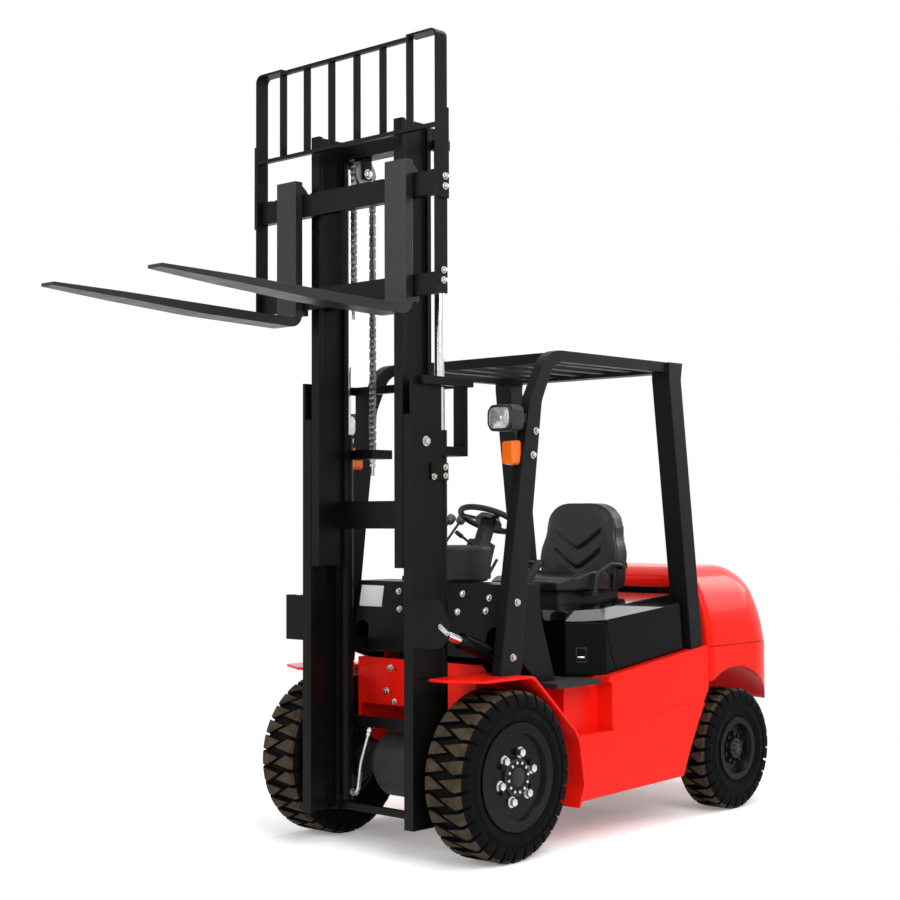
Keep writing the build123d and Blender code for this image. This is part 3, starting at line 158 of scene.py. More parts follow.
# Painted sheen: a stronger coat on the faces that look up, so their tops show highlights; a weight for upright faces
# and one for level ones
def paintedTopSheenCoat(upright, level):
    def build(tree):
        lift = tree.make("SeparateXYZ", None, {0: tree.make("NewGeometry", out="Normal")}, "Z")
        return span(tree, lift, 0.2, 0.75, upright, level)
    return build


def rubberOf(shade, dustShade, dusting):
    def build(tree):
        dust = span(tree, noise(tree, 0.05, 5), 0.38, 0.7, 0, dusting)
        return (tint(tree, dust, (*shade, 1), (*dustShade, 1)),
                span(tree, noise(tree, 0.03), 0.3, 0.7, 0.55, 0.78), noise(tree, 0.0022, 3), 0.0006)
    return build


def metalOf(shade, darkShade, rough, grain):
    def build(tree):
        film = span(tree, noise(tree, 0.06, 4), 0.4, 0.75, 0, 0.7)
        return (tint(tree, film, (*shade, 1), (*darkShade, 1)),
                span(tree, noise(tree, 0.02, 4), 0.3, 0.7, rough - 0.04, rough + 0.08), noise(tree, 0.003), grain)
    return build


def mouldedOf(shade, rough, cellSize, depth):
    def build(tree):
        patch = span(tree, noise(tree, 0.2), 0.3, 0.7, 0.85, 1.2)
        lighter = tuple(1.5 * c for c in shade)
        return (tint(tree, patch - 0.6, (*shade, 1), (*lighter, 1)),
                span(tree, noise(tree, 0.05), 0.3, 0.7, rough - 0.06, rough + 0.06), cells(tree, cellSize), depth)
    return build


finishes = {
    # redPaint: a painted highlight on its upward faces, by a stronger coat there
    "redPaint": newFinish("redPaint", paintOver((0.77, 0.010, 0.004), (0.60, 0.016, 0.009), 0.3, 0.00004),
                          edge=0.006, Coat_Weight=paintedTopSheenCoat(0.05, 0.45), Coat_Roughness=0.1, Specular_IOR_Level=0.07),
    "mastBlack": newFinish("mastBlack", paintOver((0.0035, 0.0035, 0.0034), (0.010, 0.009, 0.008), 0.34, 0.0001),
                           edge=0.003, Specular_IOR_Level=0.1),
    "guardBlack": newFinish("guardBlack", paintOver((0.006, 0.006, 0.006), (0.014, 0.012, 0.011), 0.42, 0.00012),
                            edge=0.008, Specular_IOR_Level=0.09),
    "forkBlack": newFinish("forkBlack", paintOver((0.010, 0.0095, 0.009), (0.05, 0.043, 0.038), 0.36, 0.0002),
                           edge=0.004, Specular_IOR_Level=0.3),
    # hoodGloss: a painted sheen on its upward faces, by a stronger coat there
    "hoodGloss": newFinish("hoodGloss", paintOver((0.002, 0.002, 0.0022), (0.004, 0.0038, 0.0036), 0.14, 0.00002),
                           edge=0.014, Coat_Weight=paintedTopSheenCoat(0.05, 0.9), Coat_Roughness=0.03, Specular_IOR_Level=0.05),
    "trimBlack": newFinish("trimBlack", mouldedOf((0.010, 0.010, 0.0105), 0.5, 0.0022, 0.0002), edge=0.003,
                           Specular_IOR_Level=0.25),
    "matRubber": newFinish("matRubber", rubberOf((0.012, 0.012, 0.012), (0.035, 0.032, 0.028), 0.4), edge=0.002,
                           Specular_IOR_Level=0.2),
    "wallRubber": newFinish("wallRubber", rubberOf((0.0035, 0.0036, 0.004), (0.007, 0.0065, 0.006), 0.3),
                            Specular_IOR_Level=0.03),
    "treadRubber": newFinish("treadRubber", rubberOf((0.030, 0.021, 0.0135), (0.072, 0.052, 0.035), 0.8),
                             Specular_IOR_Level=0.06),
    "rimGrey": newFinish("rimGrey", paintOver((0.004, 0.004, 0.0042), (0.007, 0.0066, 0.0062), 0.24, 0.0001),
                         edge=0.004, Specular_IOR_Level=0.08),
    "castDark": newFinish("castDark", metalOf((0.008, 0.008, 0.008), (0.016, 0.014, 0.012), 0.46, 0.0006), edge=0.005,
                          Specular_IOR_Level=0.25),
    "chrome": newFinish("chrome", metalOf((0.72, 0.72, 0.74), (0.55, 0.55, 0.56), 0.12, 0.00002), Metallic=1.0),
    "chainSteel": newFinish("chainSteel", metalOf((0.24, 0.23, 0.21), (0.07, 0.064, 0.058), 0.34, 0.0002),
                            edge=0.001, Metallic=0.9),
    "zinc": newFinish("zinc", metalOf((0.62, 0.61, 0.58), (0.4, 0.38, 0.34), 0.28, 0.0002), edge=0.0015, Metallic=1.0),
    "seatVinyl": newFinish("seatVinyl", mouldedOf((0.006, 0.006, 0.0062), 0.36, 0.0035, 0.0004),
                           Specular_IOR_Level=0.3),
    "lampGlass": newFinish("lampGlass", mouldedOf((0.9, 0.92, 0.95), 0.06, 0.006, 0.0004),
                           Transmission_Weight=0.95, IOR=1.45),
    "amberLens": newFinish("amberLens", mouldedOf((0.82, 0.15, 0.004), 0.2, 0.004, 0.0006), Transmission_Weight=0.3),
    "redLens": newFinish("redLens", mouldedOf((0.5, 0.008, 0.006), 0.2, 0.004, 0.0006), Transmission_Weight=0.2),
    "gripGrey": newFinish("gripGrey", mouldedOf((0.035, 0.035, 0.036), 0.4, 0.002, 0.0002)),
    "whitePlate": newFinish("whitePlate", mouldedOf((0.5, 0.5, 0.49), 0.45, 0.002, 0.0001)),
}
print("finishes made:", len(finishes))

nodeFinish = {
    "redPaint": ["chassis_frame", "side_tanks", "fenders", "counterweight"],
    "mastBlack": ["front_cowl", "mast_outer_rails", "mast_outer_ties", "lift_barrels", "mast_inner_rails",
                  "mast_inner_ties", "carriage_frame", "load_backrest", "tilt_barrels", "radiator"],
    "guardBlack": ["guard_sides", "guard_roof"],
    "forkBlack": ["fork_left", "fork_right"],
    "hoodGloss": ["hood", "hood_front_panel"],
    "trimBlack": ["steering_console", "hand_levers", "pedals", "headlamps", "rear_grille", "steering_wheel",
                  "seat_base", "seat_wings"],
    "matRubber": ["floor_plate"],
    "wallRubber": ["front_tyre_left", "front_tyre_right", "rear_tyre_left", "rear_tyre_right"],
    "rimGrey": ["front_rim_left", "front_rim_right", "rear_rim_left", "rear_rim_right"],
    "castDark": ["engine", "drive_axle", "steer_axle", "knuckle_left", "knuckle_right"],
    "chrome": ["lift_rods", "tilt_rods"],
    "chainSteel": ["chain_wheels", "chain_crowns", "back_chains", "front_chains"],
    "seatVinyl": ["seat_cushion", "seat_back"],
    "lampGlass": ["headlamp_lenses"],
    "amberLens": ["turn_signals"],
    "redLens": ["tail_lamps"],
}
for finishName, names in nodeFinish.items():
    for name in names:
        mesh = nodes[name].data
        mesh.materials.clear()
        mesh.materials.append(finishes[finishName])
print("solids painted")


# A piece from a bmesh: merged, faces outwards, smooth up to the crease angle, riding on one body
def addPiece(name, bm, finishNames, body, replaced=(), crease=35):
    bmesh.ops.remove_doubles(bm, verts=bm.verts, dist=1e-5)
    bmesh.ops.recalc_face_normals(bm, faces=bm.faces)
    mesh = bpy.data.meshes.new(name)
    bm.to_mesh(mesh)
    bm.free()
    for finishName in finishNames:
        mesh.materials.append(finishes[finishName])
    mesh.shade_smooth()
    mesh.set_sharp_from_angle(angle=math.radians(crease))
    piece = bpy.data.objects.new(name, mesh)
    bpy.context.scene.collection.objects.link(piece)
    if body:
        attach(piece, body)
    if replaced:
        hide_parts(*replaced)
    return piece


def mirrored(bm):
    other = bm.copy()
    bmesh.ops.transform(other, matrix=Matrix.Scale(-1, 4, (1, 0, 0)), verts=other.verts)
    bmesh.ops.reverse_faces(other, faces=other.faces)
    return other


# Puts a copy of a small shape into a bigger bmesh and returns the copy's vertices
def putIn(bm, shape, matrix=Matrix()):
    mesh = bpy.data.meshes.new("copy")
    shape.to_mesh(mesh)
    first = len(bm.verts)
    bm.from_mesh(mesh)
    bpy.data.meshes.remove(mesh)
    bm.verts.ensure_lookup_table()
    fresh = bm.verts[first:]
    bmesh.ops.transform(bm, matrix=matrix, verts=fresh)
    return fresh


# Cuts new edges where a plane crosses the shape
def sliceAt(bm, place, normal):
    bmesh.ops.bisect_plane(bm, geom=bm.verts[:] + bm.edges[:] + bm.faces[:], plane_co=place, plane_no=normal)


# A profile of (along, radius) points turned about an axis; the axis runs from place along ahead
def lathe(bm, profile, place, ahead, steps=48, index=0):
    turn = Vector(ahead).to_track_quat("Z", "Y").to_matrix().to_4x4()
    shape = bmesh.new()
    points = [shape.verts.new((radius, 0, along)) for along, radius in profile]
    edges = [shape.edges.new(pair) for pair in zip(points, points[1:])]
    bmesh.ops.spin(shape, geom=points + edges, cent=(0, 0, 0), axis=(0, 0, 1), angle=2 * math.pi, steps=steps,
                   use_merge=True)
    bmesh.ops.remove_doubles(shape, verts=shape.verts, dist=1e-6)
    bmesh.ops.holes_fill(shape, edges=shape.edges, sides=0)
    for face in shape.faces:
        face.material_index = index
    putIn(bm, shape, Matrix.Translation(place) @ turn)
    shape.free()


# Hexagon head with a chamfered top, and a washer under it; size is across corners
def hexBolt(bm, place, ahead, size, height, washer=1.35, index=0):
    turn = Vector(ahead).to_track_quat("Z", "Y").to_matrix().to_4x4()
    shape = bmesh.new()
    thin = 0.15 * height
    if washer:
        bmesh.ops.create_cone(shape, cap_ends=True, segments=20, radius1=size / 2 * washer, radius2=size / 2 * washer,
                              depth=thin, matrix=Matrix.Translation((0, 0, thin / 2)))
    bmesh.ops.create_cone(shape, cap_ends=True, segments=6, radius1=size / 2, radius2=size / 2, depth=height,
                          matrix=Matrix.Translation((0, 0, thin + height / 2)))
    top = [edge for edge in shape.edges if all(v.co.z > 0.9 * height for v in edge.verts)]
    bmesh.ops.bevel(shape, geom=top, offset=0.1 * size, offset_type="OFFSET", segments=2, profile=0.5,
                    affect="EDGES", material=-1)
    for face in shape.faces:
        face.material_index = index
    putIn(bm, shape, Matrix.Translation(place) @ turn)
    shape.free()


# Tyres: a turned carcass with two rows of slanted lugs that run over the shoulder
tread = {"depth": 0.017, "sunk": 0.008, "draft": 0.94, "edge": 0.0022, "lead": (0.0, 0.45), "shoulder": 0.76,
         "outline": [(-0.16, 0.0), (1.0, -0.34), (1.0, 0.50), (0.60, 0.66), (0.46, 0.56)],
         "cutsAcross": (0.76, 0.88, 0.4, 0.1), "cutsAlong": (-0.25, 0, 0.25), "dustyTo": 0.87}
tyres = {"front_tyre": {"bead": 191.3 / 355, "shoulderDrop": 0.040, "lugs": 31},
         "rear_tyre": {"bead": 127.3 / 293, "shoulderDrop": 0.034, "lugs": 28}}


def lugBlock(half, pitch):
    lug = bmesh.new()
    base = lug.faces.new([lug.verts.new((v * half, u * pitch, -tread["sunk"])) for v, u in tread["outline"]])
    top = bmesh.ops.extrude_face_region(lug, geom=[base])["geom"]
    topVerts = [item for item in top if isinstance(item, bmesh.types.BMVert)]
    bmesh.ops.translate(lug, vec=(0, 0, tread["depth"] + tread["sunk"]), verts=topVerts)
    middle = sum((v.co for v in topVerts), Vector()) / len(topVerts)
    bmesh.ops.scale(lug, vec=(1, tread["draft"], 1), space=Matrix.Translation(-middle), verts=topVerts)
    crown = [edge for edge in lug.edges if all(v.co.z > 0 for v in edge.verts)]
    bmesh.ops.bevel(lug, geom=crown, offset=tread["edge"], offset_type="OFFSET", segments=1, profile=0.5,
                    affect="EDGES", material=-1)
    for share in tread["cutsAcross"]:
        sliceAt(lug, (share * half, 0, 0), (1, 0, 0))
    for share in tread["cutsAlong"]:
        sliceAt(lug, (0, share * pitch, 0), (0, 1, 0))
    lug.normal_update()
    for face in lug.faces:
        middle = face.calc_center_median()
        onTop = abs(face.normal.z) > 0.8 and middle.z > 0
        face.material_index = 1 if onTop and middle.x < tread["dustyTo"] * half else 0
    return lug


def tyreShape(radius, bead, half, shoulderDrop, lugs):
    tyre = bmesh.new()
    wall = bead + 0.42 * (radius - bead)
    floorRadius = radius - tread["depth"]
    side = [(half - 0.018, bead + 0.0005), (half - 0.013, bead + 0.020), (half - 0.010, bead + 0.024),
            (half - 0.0125, bead + 0.030), (half - 0.004, wall - 0.020), (half - 0.001, wall - 0.004),
            (half + 0.001, wall), (half - 0.001, wall + 0.004), (half - 0.0045, radius - 0.062),
            (half - 0.0015, radius - 0.057), (half - 0.004, radius - 0.050), (half - 0.014, radius - 0.036),
            (half - 0.034, floorRadius - 0.002), (half - 0.046, floorRadius)]
    profile = side + [(-x, r) for x, r in reversed(side)]
    lathe(tyre, profile + profile[:1], (0, 0, 0), (1, 0, 0), steps=88)
    pitch = 2 * math.pi * radius / lugs
    lug = lugBlock(half, pitch)
    for index in range(2 * lugs):
        row = 1 if index < lugs else -1
        lead = tread["lead"][0 if row > 0 else 1]
        for vert in putIn(tyre, lug):
            x, along, rise = row * vert.co.x, row * vert.co.y, vert.co.z
            beyond = max(0, abs(x) / half - tread["shoulder"]) / (1 - tread["shoulder"])
            angle = (along + (index + lead) * pitch) / radius
            reach = floorRadius + rise - shoulderDrop * beyond ** 1.6
            vert.co = (x, reach * math.sin(angle), -reach * math.cos(angle))
    lug.free()
    return tyre


def addTyre(name):
    plan = tyres[name]
    low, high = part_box(name + "_left")
    middle = (low + high) / 2
    half = (high.x - low.x) / 2
    radius = (high.z - low.z) / 2
    left = tyreShape(radius, plan["bead"] * radius, half, plan["shoulderDrop"], plan["lugs"])
    bmesh.ops.translate(left, vec=middle, verts=left.verts)
    right = mirrored(left)
    for side, bm in (("left", left), ("right", right)):
        wheel = name.replace("tyre", "wheel") + "_" + side
        addPiece(name.replace("_", "Lugged_") + "_" + side, bm, ["wallRubber", "treadRubber"], wheel,
                 [name + "_" + side])


for tyreName in tyres:
    addTyre(tyreName)
print("tyres lugged")

# Wheel fittings: black hub with a ring of small bolts, and the wheel nuts
hubs = {
    "front": {"face": 0.013, "hub": 0.079, "boltCircle": 0.061, "bolts": 12, "boltSize": 0.014,
              "nutCircle": 0.103, "nuts": 6, "nutSize": 0.036, "nutDepth": 0.018, "nutFace": 0.018,
              "nutFinish": "zinc"},
    "rear": {"face": 0.017, "hub": 0.047, "boltCircle": 0.033, "bolts": 8, "boltSize": 0.009,
             "nutCircle": 0.068, "nuts": 5, "nutSize": 0.027, "nutDepth": 0.014, "nutFace": 0.038,
             "nutFinish": "rimGrey"},
}


def addHub(end):
    plan = hubs[end]
    low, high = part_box(end + "_tyre_left")
    centre = Vector((high.x, (low.y + high.y) / 2, (low.z + high.z) / 2))
    bm = bmesh.new()
    face = centre - Vector((plan["face"], 0, 0))
    lathe(bm, [(-0.012, plan["hub"]), (0.004, plan["hub"]), (0.007, plan["hub"] - 0.003), (0.0075, plan["hub"] - 0.03),
               (0.005, plan["hub"] * 0.52), (0.010, plan["hub"] * 0.48), (0.0115, plan["hub"] * 0.4), (0.0115, 0)],
          face, (1, 0, 0))
    for count, circle, size, height, back in ((plan["bolts"], plan["boltCircle"], plan["boltSize"], 0.006, -0.006),
                                              (plan["nuts"], plan["nutCircle"], plan["nutSize"], plan["nutDepth"],
                                               plan["nutFace"] - plan["face"])):
        for step in range(count):
            angle = 2 * math.pi * (step + 0.25) / count
            place = face + Vector((-back, circle * math.cos(angle), circle * math.sin(angle)))
            hexBolt(bm, place, (1, 0, 0), size, height, 1.3, 1)
    right = mirrored(bm)
    for side, shape in (("left", bm), ("right", right)):
        addPiece(end + "Hub_" + side, shape, ["castDark", plan["nutFinish"]], end + "_wheel_" + side)


for wheelEnd in hubs:
    addHub(wheelEnd)
print("hubs and nuts on")

# Lift chains: plates laced on pins, down both sides of each chain wheel
chain = {"pitch": 0.0254, "plate": 0.0034, "round": 0.0088, "waist": 0.72, "pin": 0.0042, "pinLength": 0.031,
         "spare": 0.0005, "outer": (-0.0125, -0.0045, 0.0045, 0.0125), "inner": (-0.0085, 0.0, 0.0085)}


def chainLink(offsets):
    link = bmesh.new()
    for offset in offsets:
        sheet = bmesh.new()
        bmesh.ops.create_cone(sheet, cap_ends=True, segments=14, radius1=chain["round"], radius2=chain["round"],
                              depth=chain["plate"], matrix=Matrix.Rotation(math.pi / 2, 4, "Y"))
        for vert in sheet.verts:
            vert.co.z += math.copysign(chain["pitch"] / 2, vert.co.z)
        sides = [edge for edge in sheet.edges if abs(edge.calc_length() - chain["pitch"]) < 0.004]
        cut = bmesh.ops.subdivide_edges(sheet, edges=sides, cuts=1)
        middle = [item for item in cut["geom_inner"] if isinstance(item, bmesh.types.BMVert)]
        bmesh.ops.scale(sheet, vec=(1, chain["waist"], 1), verts=middle)
        putIn(link, sheet, Matrix.Translation((offset, 0, 0)))
        sheet.free()
    bmesh.ops.create_cone(link, cap_ends=True, segments=8, radius1=chain["pin"], radius2=chain["pin"],
                          depth=chain["pinLength"],
                          matrix=Matrix.Translation((0, 0, chain["pitch"] / 2)) @ Matrix.Rotation(math.pi / 2, 4, "Y"))
    return link


chainLinks = [chainLink(chain["outer"]), chainLink(chain["inner"])]


def strandShape(node):
    low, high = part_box(node)
    reach = high.x - chain["pinLength"] / 2 + chain["spare"]
    middleY = (low.y + high.y) / 2
    count = round((high.z - low.z) / chain["pitch"])
    step = (high.z - low.z) / count
    bm = bmesh.new()
    for side in (-1, 1):
        for index in range(count):
            place = Vector((side * reach, middleY, low.z + (index + 0.5) * step))
            putIn(bm, chainLinks[index % 2], Matrix.Translation(place))
    return bm, low, high


def addStrand(name, node):
    bm, low, high = strandShape(node)
    strand = addPiece(name, bm, ["chainSteel"], None, [node])
    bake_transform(strand)


def addCrowns():
    low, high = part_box("chain_crowns")
    reach = high.x - chain["pinLength"] / 2 + chain["spare"]
    outer = (high.y - low.y) / 2
    middle = Vector((0, (low.y + high.y) / 2, low.z))
    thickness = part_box("back_chains")[1].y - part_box("back_chains")[0].y
    radius = outer - thickness / 2
    count = round(math.pi * radius / chain["pitch"])
    bm = bmesh.new()
    for side in (-1, 1):
        for index in range(count):
            angle = math.pi * (index + 0.5) / count
            place = middle + Vector((side * reach, -radius * math.cos(angle), radius * math.sin(angle)))
            putIn(bm, chainLinks[index % 2], Matrix.Translation(place) @ Matrix.Rotation(-angle, 4, "X"))
    addPiece("chainCrowns", bm, ["chainSteel"], "mast_inner", ["chain_crowns"])


addStrand("chainBackStrands", "back_chains")
addStrand("chainFrontStrands", "front_chains")
addCrowns()
print("chains laced")

# Counterweight: the solid's upper part drawn in towards its top, as the casting is
casting = {"split": 0.800, "drawX": 0.21, "drawY": 0.135, "power": 2.1, "groove": 0.008, "inset": 0.012, "slices": 18,
           "recess": 0.234, "recessZ": (0.855, 1.065), "recessDepth": 0.05}


def addCasting():
    low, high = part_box("counterweight")
    bm = bmesh.new()
    bm.from_mesh(nodes["counterweight"].data)
    bmesh.ops.remove_doubles(bm, verts=bm.verts, dist=1e-5)
    height = high.z - casting["split"]
    for step in range(casting["slices"]):
        level = casting["split"] + (height * step / casting["slices"] if step else casting["groove"])
        sliceAt(bm, (0, 0, level), (0, 0, 1))
    for vert in bm.verts:
        x, y, z = vert.co
        share = (z - casting["split"]) / height
        if share < -1e-4 or any(face.calc_center_median().z < casting["split"] - 1e-4 for face in vert.link_faces):
            continue
        draw = share ** casting["power"] if share > 0 else 0
        grow = casting["inset"] * (1 - min(1, share)) ** 3 if share > 1e-4 else 0
        inRecess = (abs(x) < casting["recess"] and y < high.y - casting["recessDepth"]
                    and casting["recessZ"][0] < z < casting["recessZ"][1])
        deep = (y - low.y) / (high.y - low.y)
        vert.co.x = x * (1 - casting["drawX"] * draw) + math.copysign(grow * min(1, abs(x) / high.x), x)
        if not inRecess:
            vert.co.y = y - casting["drawY"] * draw * (y - low.y) + grow * deep
    piece = addPiece("castCounterweight", bm, ["redPaint"], "truck", ["counterweight"])
    even = piece.modifiers.new("even", "WEIGHTED_NORMAL")
    even.keep_sharp = True


addCasting()
print("counterweight drawn in")

# Seat: padded cushion and back from sculpted blocks, swelled as cloth, with sewn V lines
seat = {"voxel": 0.006, "pressure": 4.0, "cap": 0.010, "frames": 12, "calm": 45, "cuts": 34, "shrink": 0.006,
        "hump": 0.028, "plain": 0.70, "dish": 0.010, "frontRoll": 0.018,
        "bolster": 0.014, "bolsterFrom": 0.50, "wider": 0.014, "topRound": 0.125, "taper": 0.10,
        "backSet": 0.004, "backHalf": 0.036, "backLean": 0.0095, "backCrown": 0.008,
        "lineDepth": 0.010, "lineWidth": 0.008, "lines": ((0.66, 0.45), (0.44, 0.22)), "lineReach": 0.62}


def smoothStep(low, high, value):
    share = min(1, max(0, (value - low) / (high - low)))
    return share * share * (3 - 2 * share)


def paddedBlock(low, high, shape):
    bm = bmesh.new()
    bmesh.ops.create_cube(bm, size=2)
    bmesh.ops.subdivide_edges(bm, edges=bm.edges, cuts=seat["cuts"], use_grid_fill=True)
    middle = (low + high) / 2
    reach = (high - low) / 2
    for vert in bm.verts:
        vert.co = shape(vert.co.copy(), middle, reach)
    return bm


def cushionShape(at, middle, reach):
    side = abs(at.x)
    back = smoothStep(-0.55, 0.25, at.y) * (1 - 0.6 * smoothStep(0.55, 1.0, at.y))
    lift = seat["hump"] * back * smoothStep(0.55, 0.85, side) if at.z > 0 else 0
    dish = -seat["dish"] * (1 - side ** 2) * (1 - at.y ** 2) if at.z > 0 else 0
    corner = 1 - 0.10 * (at.x * at.y) ** 4 - 0.05 * smoothStep(0.5, 1, -at.y)
    roll = -seat["frontRoll"] * smoothStep(0.6, 1, -at.y) if at.z > 0 else 0
    return Vector((middle.x + at.x * reach.x * corner, middle.y + at.y * reach.y * (1 - 0.05 * at.x ** 4),
                   middle.z - reach.z + (at.z + 1) * reach.z * seat["plain"] + (lift + dish + roll) * max(0, at.z)))


def backShape(at, middle, reach):
    side = abs(at.x)
    high = (at.z + 1) / 2
    width = 1 - seat["taper"] * smoothStep(0.35, 1.0, high) - 0.04 * smoothStep(0.35, 0, high)
    bend = min(0.999, max(0, (side * width * reach.x - (width * reach.x - seat["topRound"])) / seat["topRound"]))
    drop = seat["topRound"] * (1 - math.sqrt(1 - bend * bend)) * smoothStep(0.35, 1, high)
    bolster = seat["bolster"] * smoothStep(seat["bolsterFrom"], 0.95, side) * (1 - smoothStep(0.2, 1.0, high))
    front = (bolster + seat["backCrown"] * (1 - side ** 2)) if at.y < 0 else 0
    return Vector((middle.x + at.x * (reach.x + seat["wider"]) * width,
                   middle.y + seat["backSet"] + at.y * seat["backHalf"] - front + seat["backLean"] * at.z,
                   middle.z + at.z * reach.z - drop))


# The mesh as its modifiers leave it
def frozen(piece):
    graph = bpy.context.evaluated_depsgraph_get()
    mesh = bpy.data.meshes.new_from_object(piece.evaluated_get(graph))
    piece.modifiers.clear()
    old = piece.data
    piece.data = mesh
    bpy.data.meshes.remove(old)


# Remeshed, swelled as cloth under pressure, and smoothed as a lift along the first normals
def swell(piece):
    even = piece.modifiers.new("even", "REMESH")
    even.mode = "VOXEL"
    even.voxel_size = seat["voxel"]
    even.use_smooth_shade = True
    frozen(piece)
    start = [(vert.co.copy(), vert.normal.copy()) for vert in piece.data.vertices]
    near = [[] for vert in start]
    for edge in piece.data.edges:
        first, second = edge.vertices
        near[first].append(second)
        near[second].append(first)
    cloth = piece.modifiers.new("swell", "CLOTH")
    cloth.settings.use_pressure = True
    cloth.settings.uniform_pressure_force = seat["pressure"]
    cloth.settings.effector_weights.gravity = 0
    for step in range(1, seat["frames"] + 1):
        bpy.context.scene.frame_set(step)
    frozen(piece)
    lift = [min(seat["cap"], max(0, (vert.co - place).dot(out)))
            for vert, (place, out) in zip(piece.data.vertices, start)]
    for turn in range(seat["calm"]):
        lift = [(own + sum(lift[other] for other in ring)) / (1 + len(ring)) for own, ring in zip(lift, near)]
    for vert, (place, out), rise in zip(piece.data.vertices, start, lift):
        vert.co = place + rise * out
    bpy.context.scene.frame_set(1)


# V lines are pressed into the front of the back pad
def sewLines(piece, low, high):
    height = high.z - low.z
    reach = (high.x - low.x) / 2 * seat["lineReach"]
    for vert in piece.data.vertices:
        if vert.normal.y > -0.3 or abs(vert.co.x) > reach * 1.1:
            continue
        share = min(1, abs(vert.co.x) / reach)
        fade = 1 - smoothStep(0.92, 1.08, abs(vert.co.x) / reach)
        for tip, foot in seat["lines"]:
            line = low.z + height * (foot + (tip - foot) * (share ** 1.35) * (1.15 - 0.15 * share))
            off = (vert.co.z - line) * 0.75 / seat["lineWidth"]
            vert.co.y += fade * seat["lineDepth"] * math.exp(-off * off)
            vert.co.y -= fade * 0.3 * seat["lineDepth"] * math.exp(-(off - 2.6) ** 2 / 4)


def addSeatPad(name, node, shape):
    low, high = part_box(node)
    inside = Vector((1, 1, 1)) * seat["shrink"]
    pad = addPiece(name, paddedBlock(low + inside, high - inside, shape), ["seatVinyl"], None, [node], 180)
    swell(pad)
    if node == "seat_back":
        sewLines(pad, low, high)
    smooth = pad.modifiers.new("soft", "SUBSURF")
    smooth.levels = 1
    smooth.render_levels = 1
    frozen(pad)
    pad.data.shade_smooth()
    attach(pad, "hood")


addSeatPad("seatCushion", "seat_cushion", cushionShape)
addSeatPad("seatBack", "seat_back", backShape)
print("seat padded")

# Places below are given from the front axle, in metres
frontAxle = (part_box("front_tyre_left")[0].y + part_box("front_tyre_left")[1].y) / 2


def spot(x, y, z):
    return Vector((x, y + frontAxle, z))


# Faces between rings of equal length, closed at the last one
def stackRings(bm, rings, index=0, cap=True):
    made = [[bm.verts.new(point) for point in ring] for ring in rings]
    faces = []
    for first, second in zip(made, made[1:]):
        for step in range(len(first)):
            after = (step + 1) % len(first)
            faces.append(bm.faces.new((first[step], first[after], second[after], second[step])))
    if cap:
        faces.append(bm.faces.new(made[-1]))
    for face in faces:
        face.material_index = index


# A bevelled plate: its middle, size along x, y and z, turned by a matrix about the middle
def plate(bm, middle, size, bevel=0.002, turn=Matrix(), index=0):
    shape = bmesh.new()
    bmesh.ops.create_cube(shape, size=1, matrix=Matrix.Diagonal((*size, 1)))
    bmesh.ops.bevel(shape, geom=shape.edges[:], offset=bevel, offset_type="OFFSET", segments=2, profile=0.5,
                    affect="EDGES", material=-1)
    for face in shape.faces:
        face.material_index = index
    putIn(bm, shape, Matrix.Translation(middle) @ turn)
    shape.free()


# A round bar through a list of points, with its bends rounded by a radius
def bar(bm, points, radius, bend=0.0, sides=14, index=0):
    line = [points[0]]
    for before, here, after in zip(points, points[1:], points[2:]):
        start = here + (before - here).normalized() * bend
        end = here + (after - here).normalized() * bend
        line += [start.lerp(here, t).lerp(here.lerp(end, t), t) for t in (0, 0.2, 0.4, 0.6, 0.8, 1)] if bend else [here]
    line.append(points[-1])
    turns = [2 * math.pi * step / sides for step in range(sides)]
    rings = []
    across = None
    for step, here in enumerate(line):
        ahead = (line[min(step + 1, len(line) - 1)] - line[max(step - 1, 0)]).normalized()
        across = across or ahead.orthogonal()
        across = (across - ahead * across.dot(ahead)).normalized()
        other = ahead.cross(across)
        rings.append([here + radius * (across * math.cos(turn) + other * math.sin(turn)) for turn in turns])
    stackRings(bm, [[line[0] + (p - line[0]) * 0.02 for p in rings[0]]] + rings
               + [[line[-1] + (p - line[-1]) * 0.02 for p in rings[-1]]], index)


def addBothSides(name, bm, finishNames, body, replaced=()):
    other = mirrored(bm)
    putIn(bm, other)
    other.free()
    return addPiece(name, bm, finishNames, body, replaced)


# Headlamps: black rim, bright reflector bowl with its bulb, domed glass
lamp = {"width": 0.112, "corner": 0.030, "rim": 0.010, "rimDepth": 0.012, "bowl": 0.0065, "bowlGap": 0.0005,
        "bulb": 0.013, "dome": 0.007, "glass": 0.002}


def roundedRing(middle, width, height, corner, ahead=0.0, share=1.0):
    ring = []
    for quarter in range(4):
        side = (1, -1, -1, 1)[quarter], (1, 1, -1, -1)[quarter]
        for step in range(7):
            angle = math.pi / 2 * (quarter + step / 6)
            ring.append(middle + Vector((share * (side[0] * (width / 2 - corner) + corner * math.cos(angle)), -ahead,
                                         share * (side[1] * (height / 2 - corner) + corner * math.sin(angle)))))
    return ring


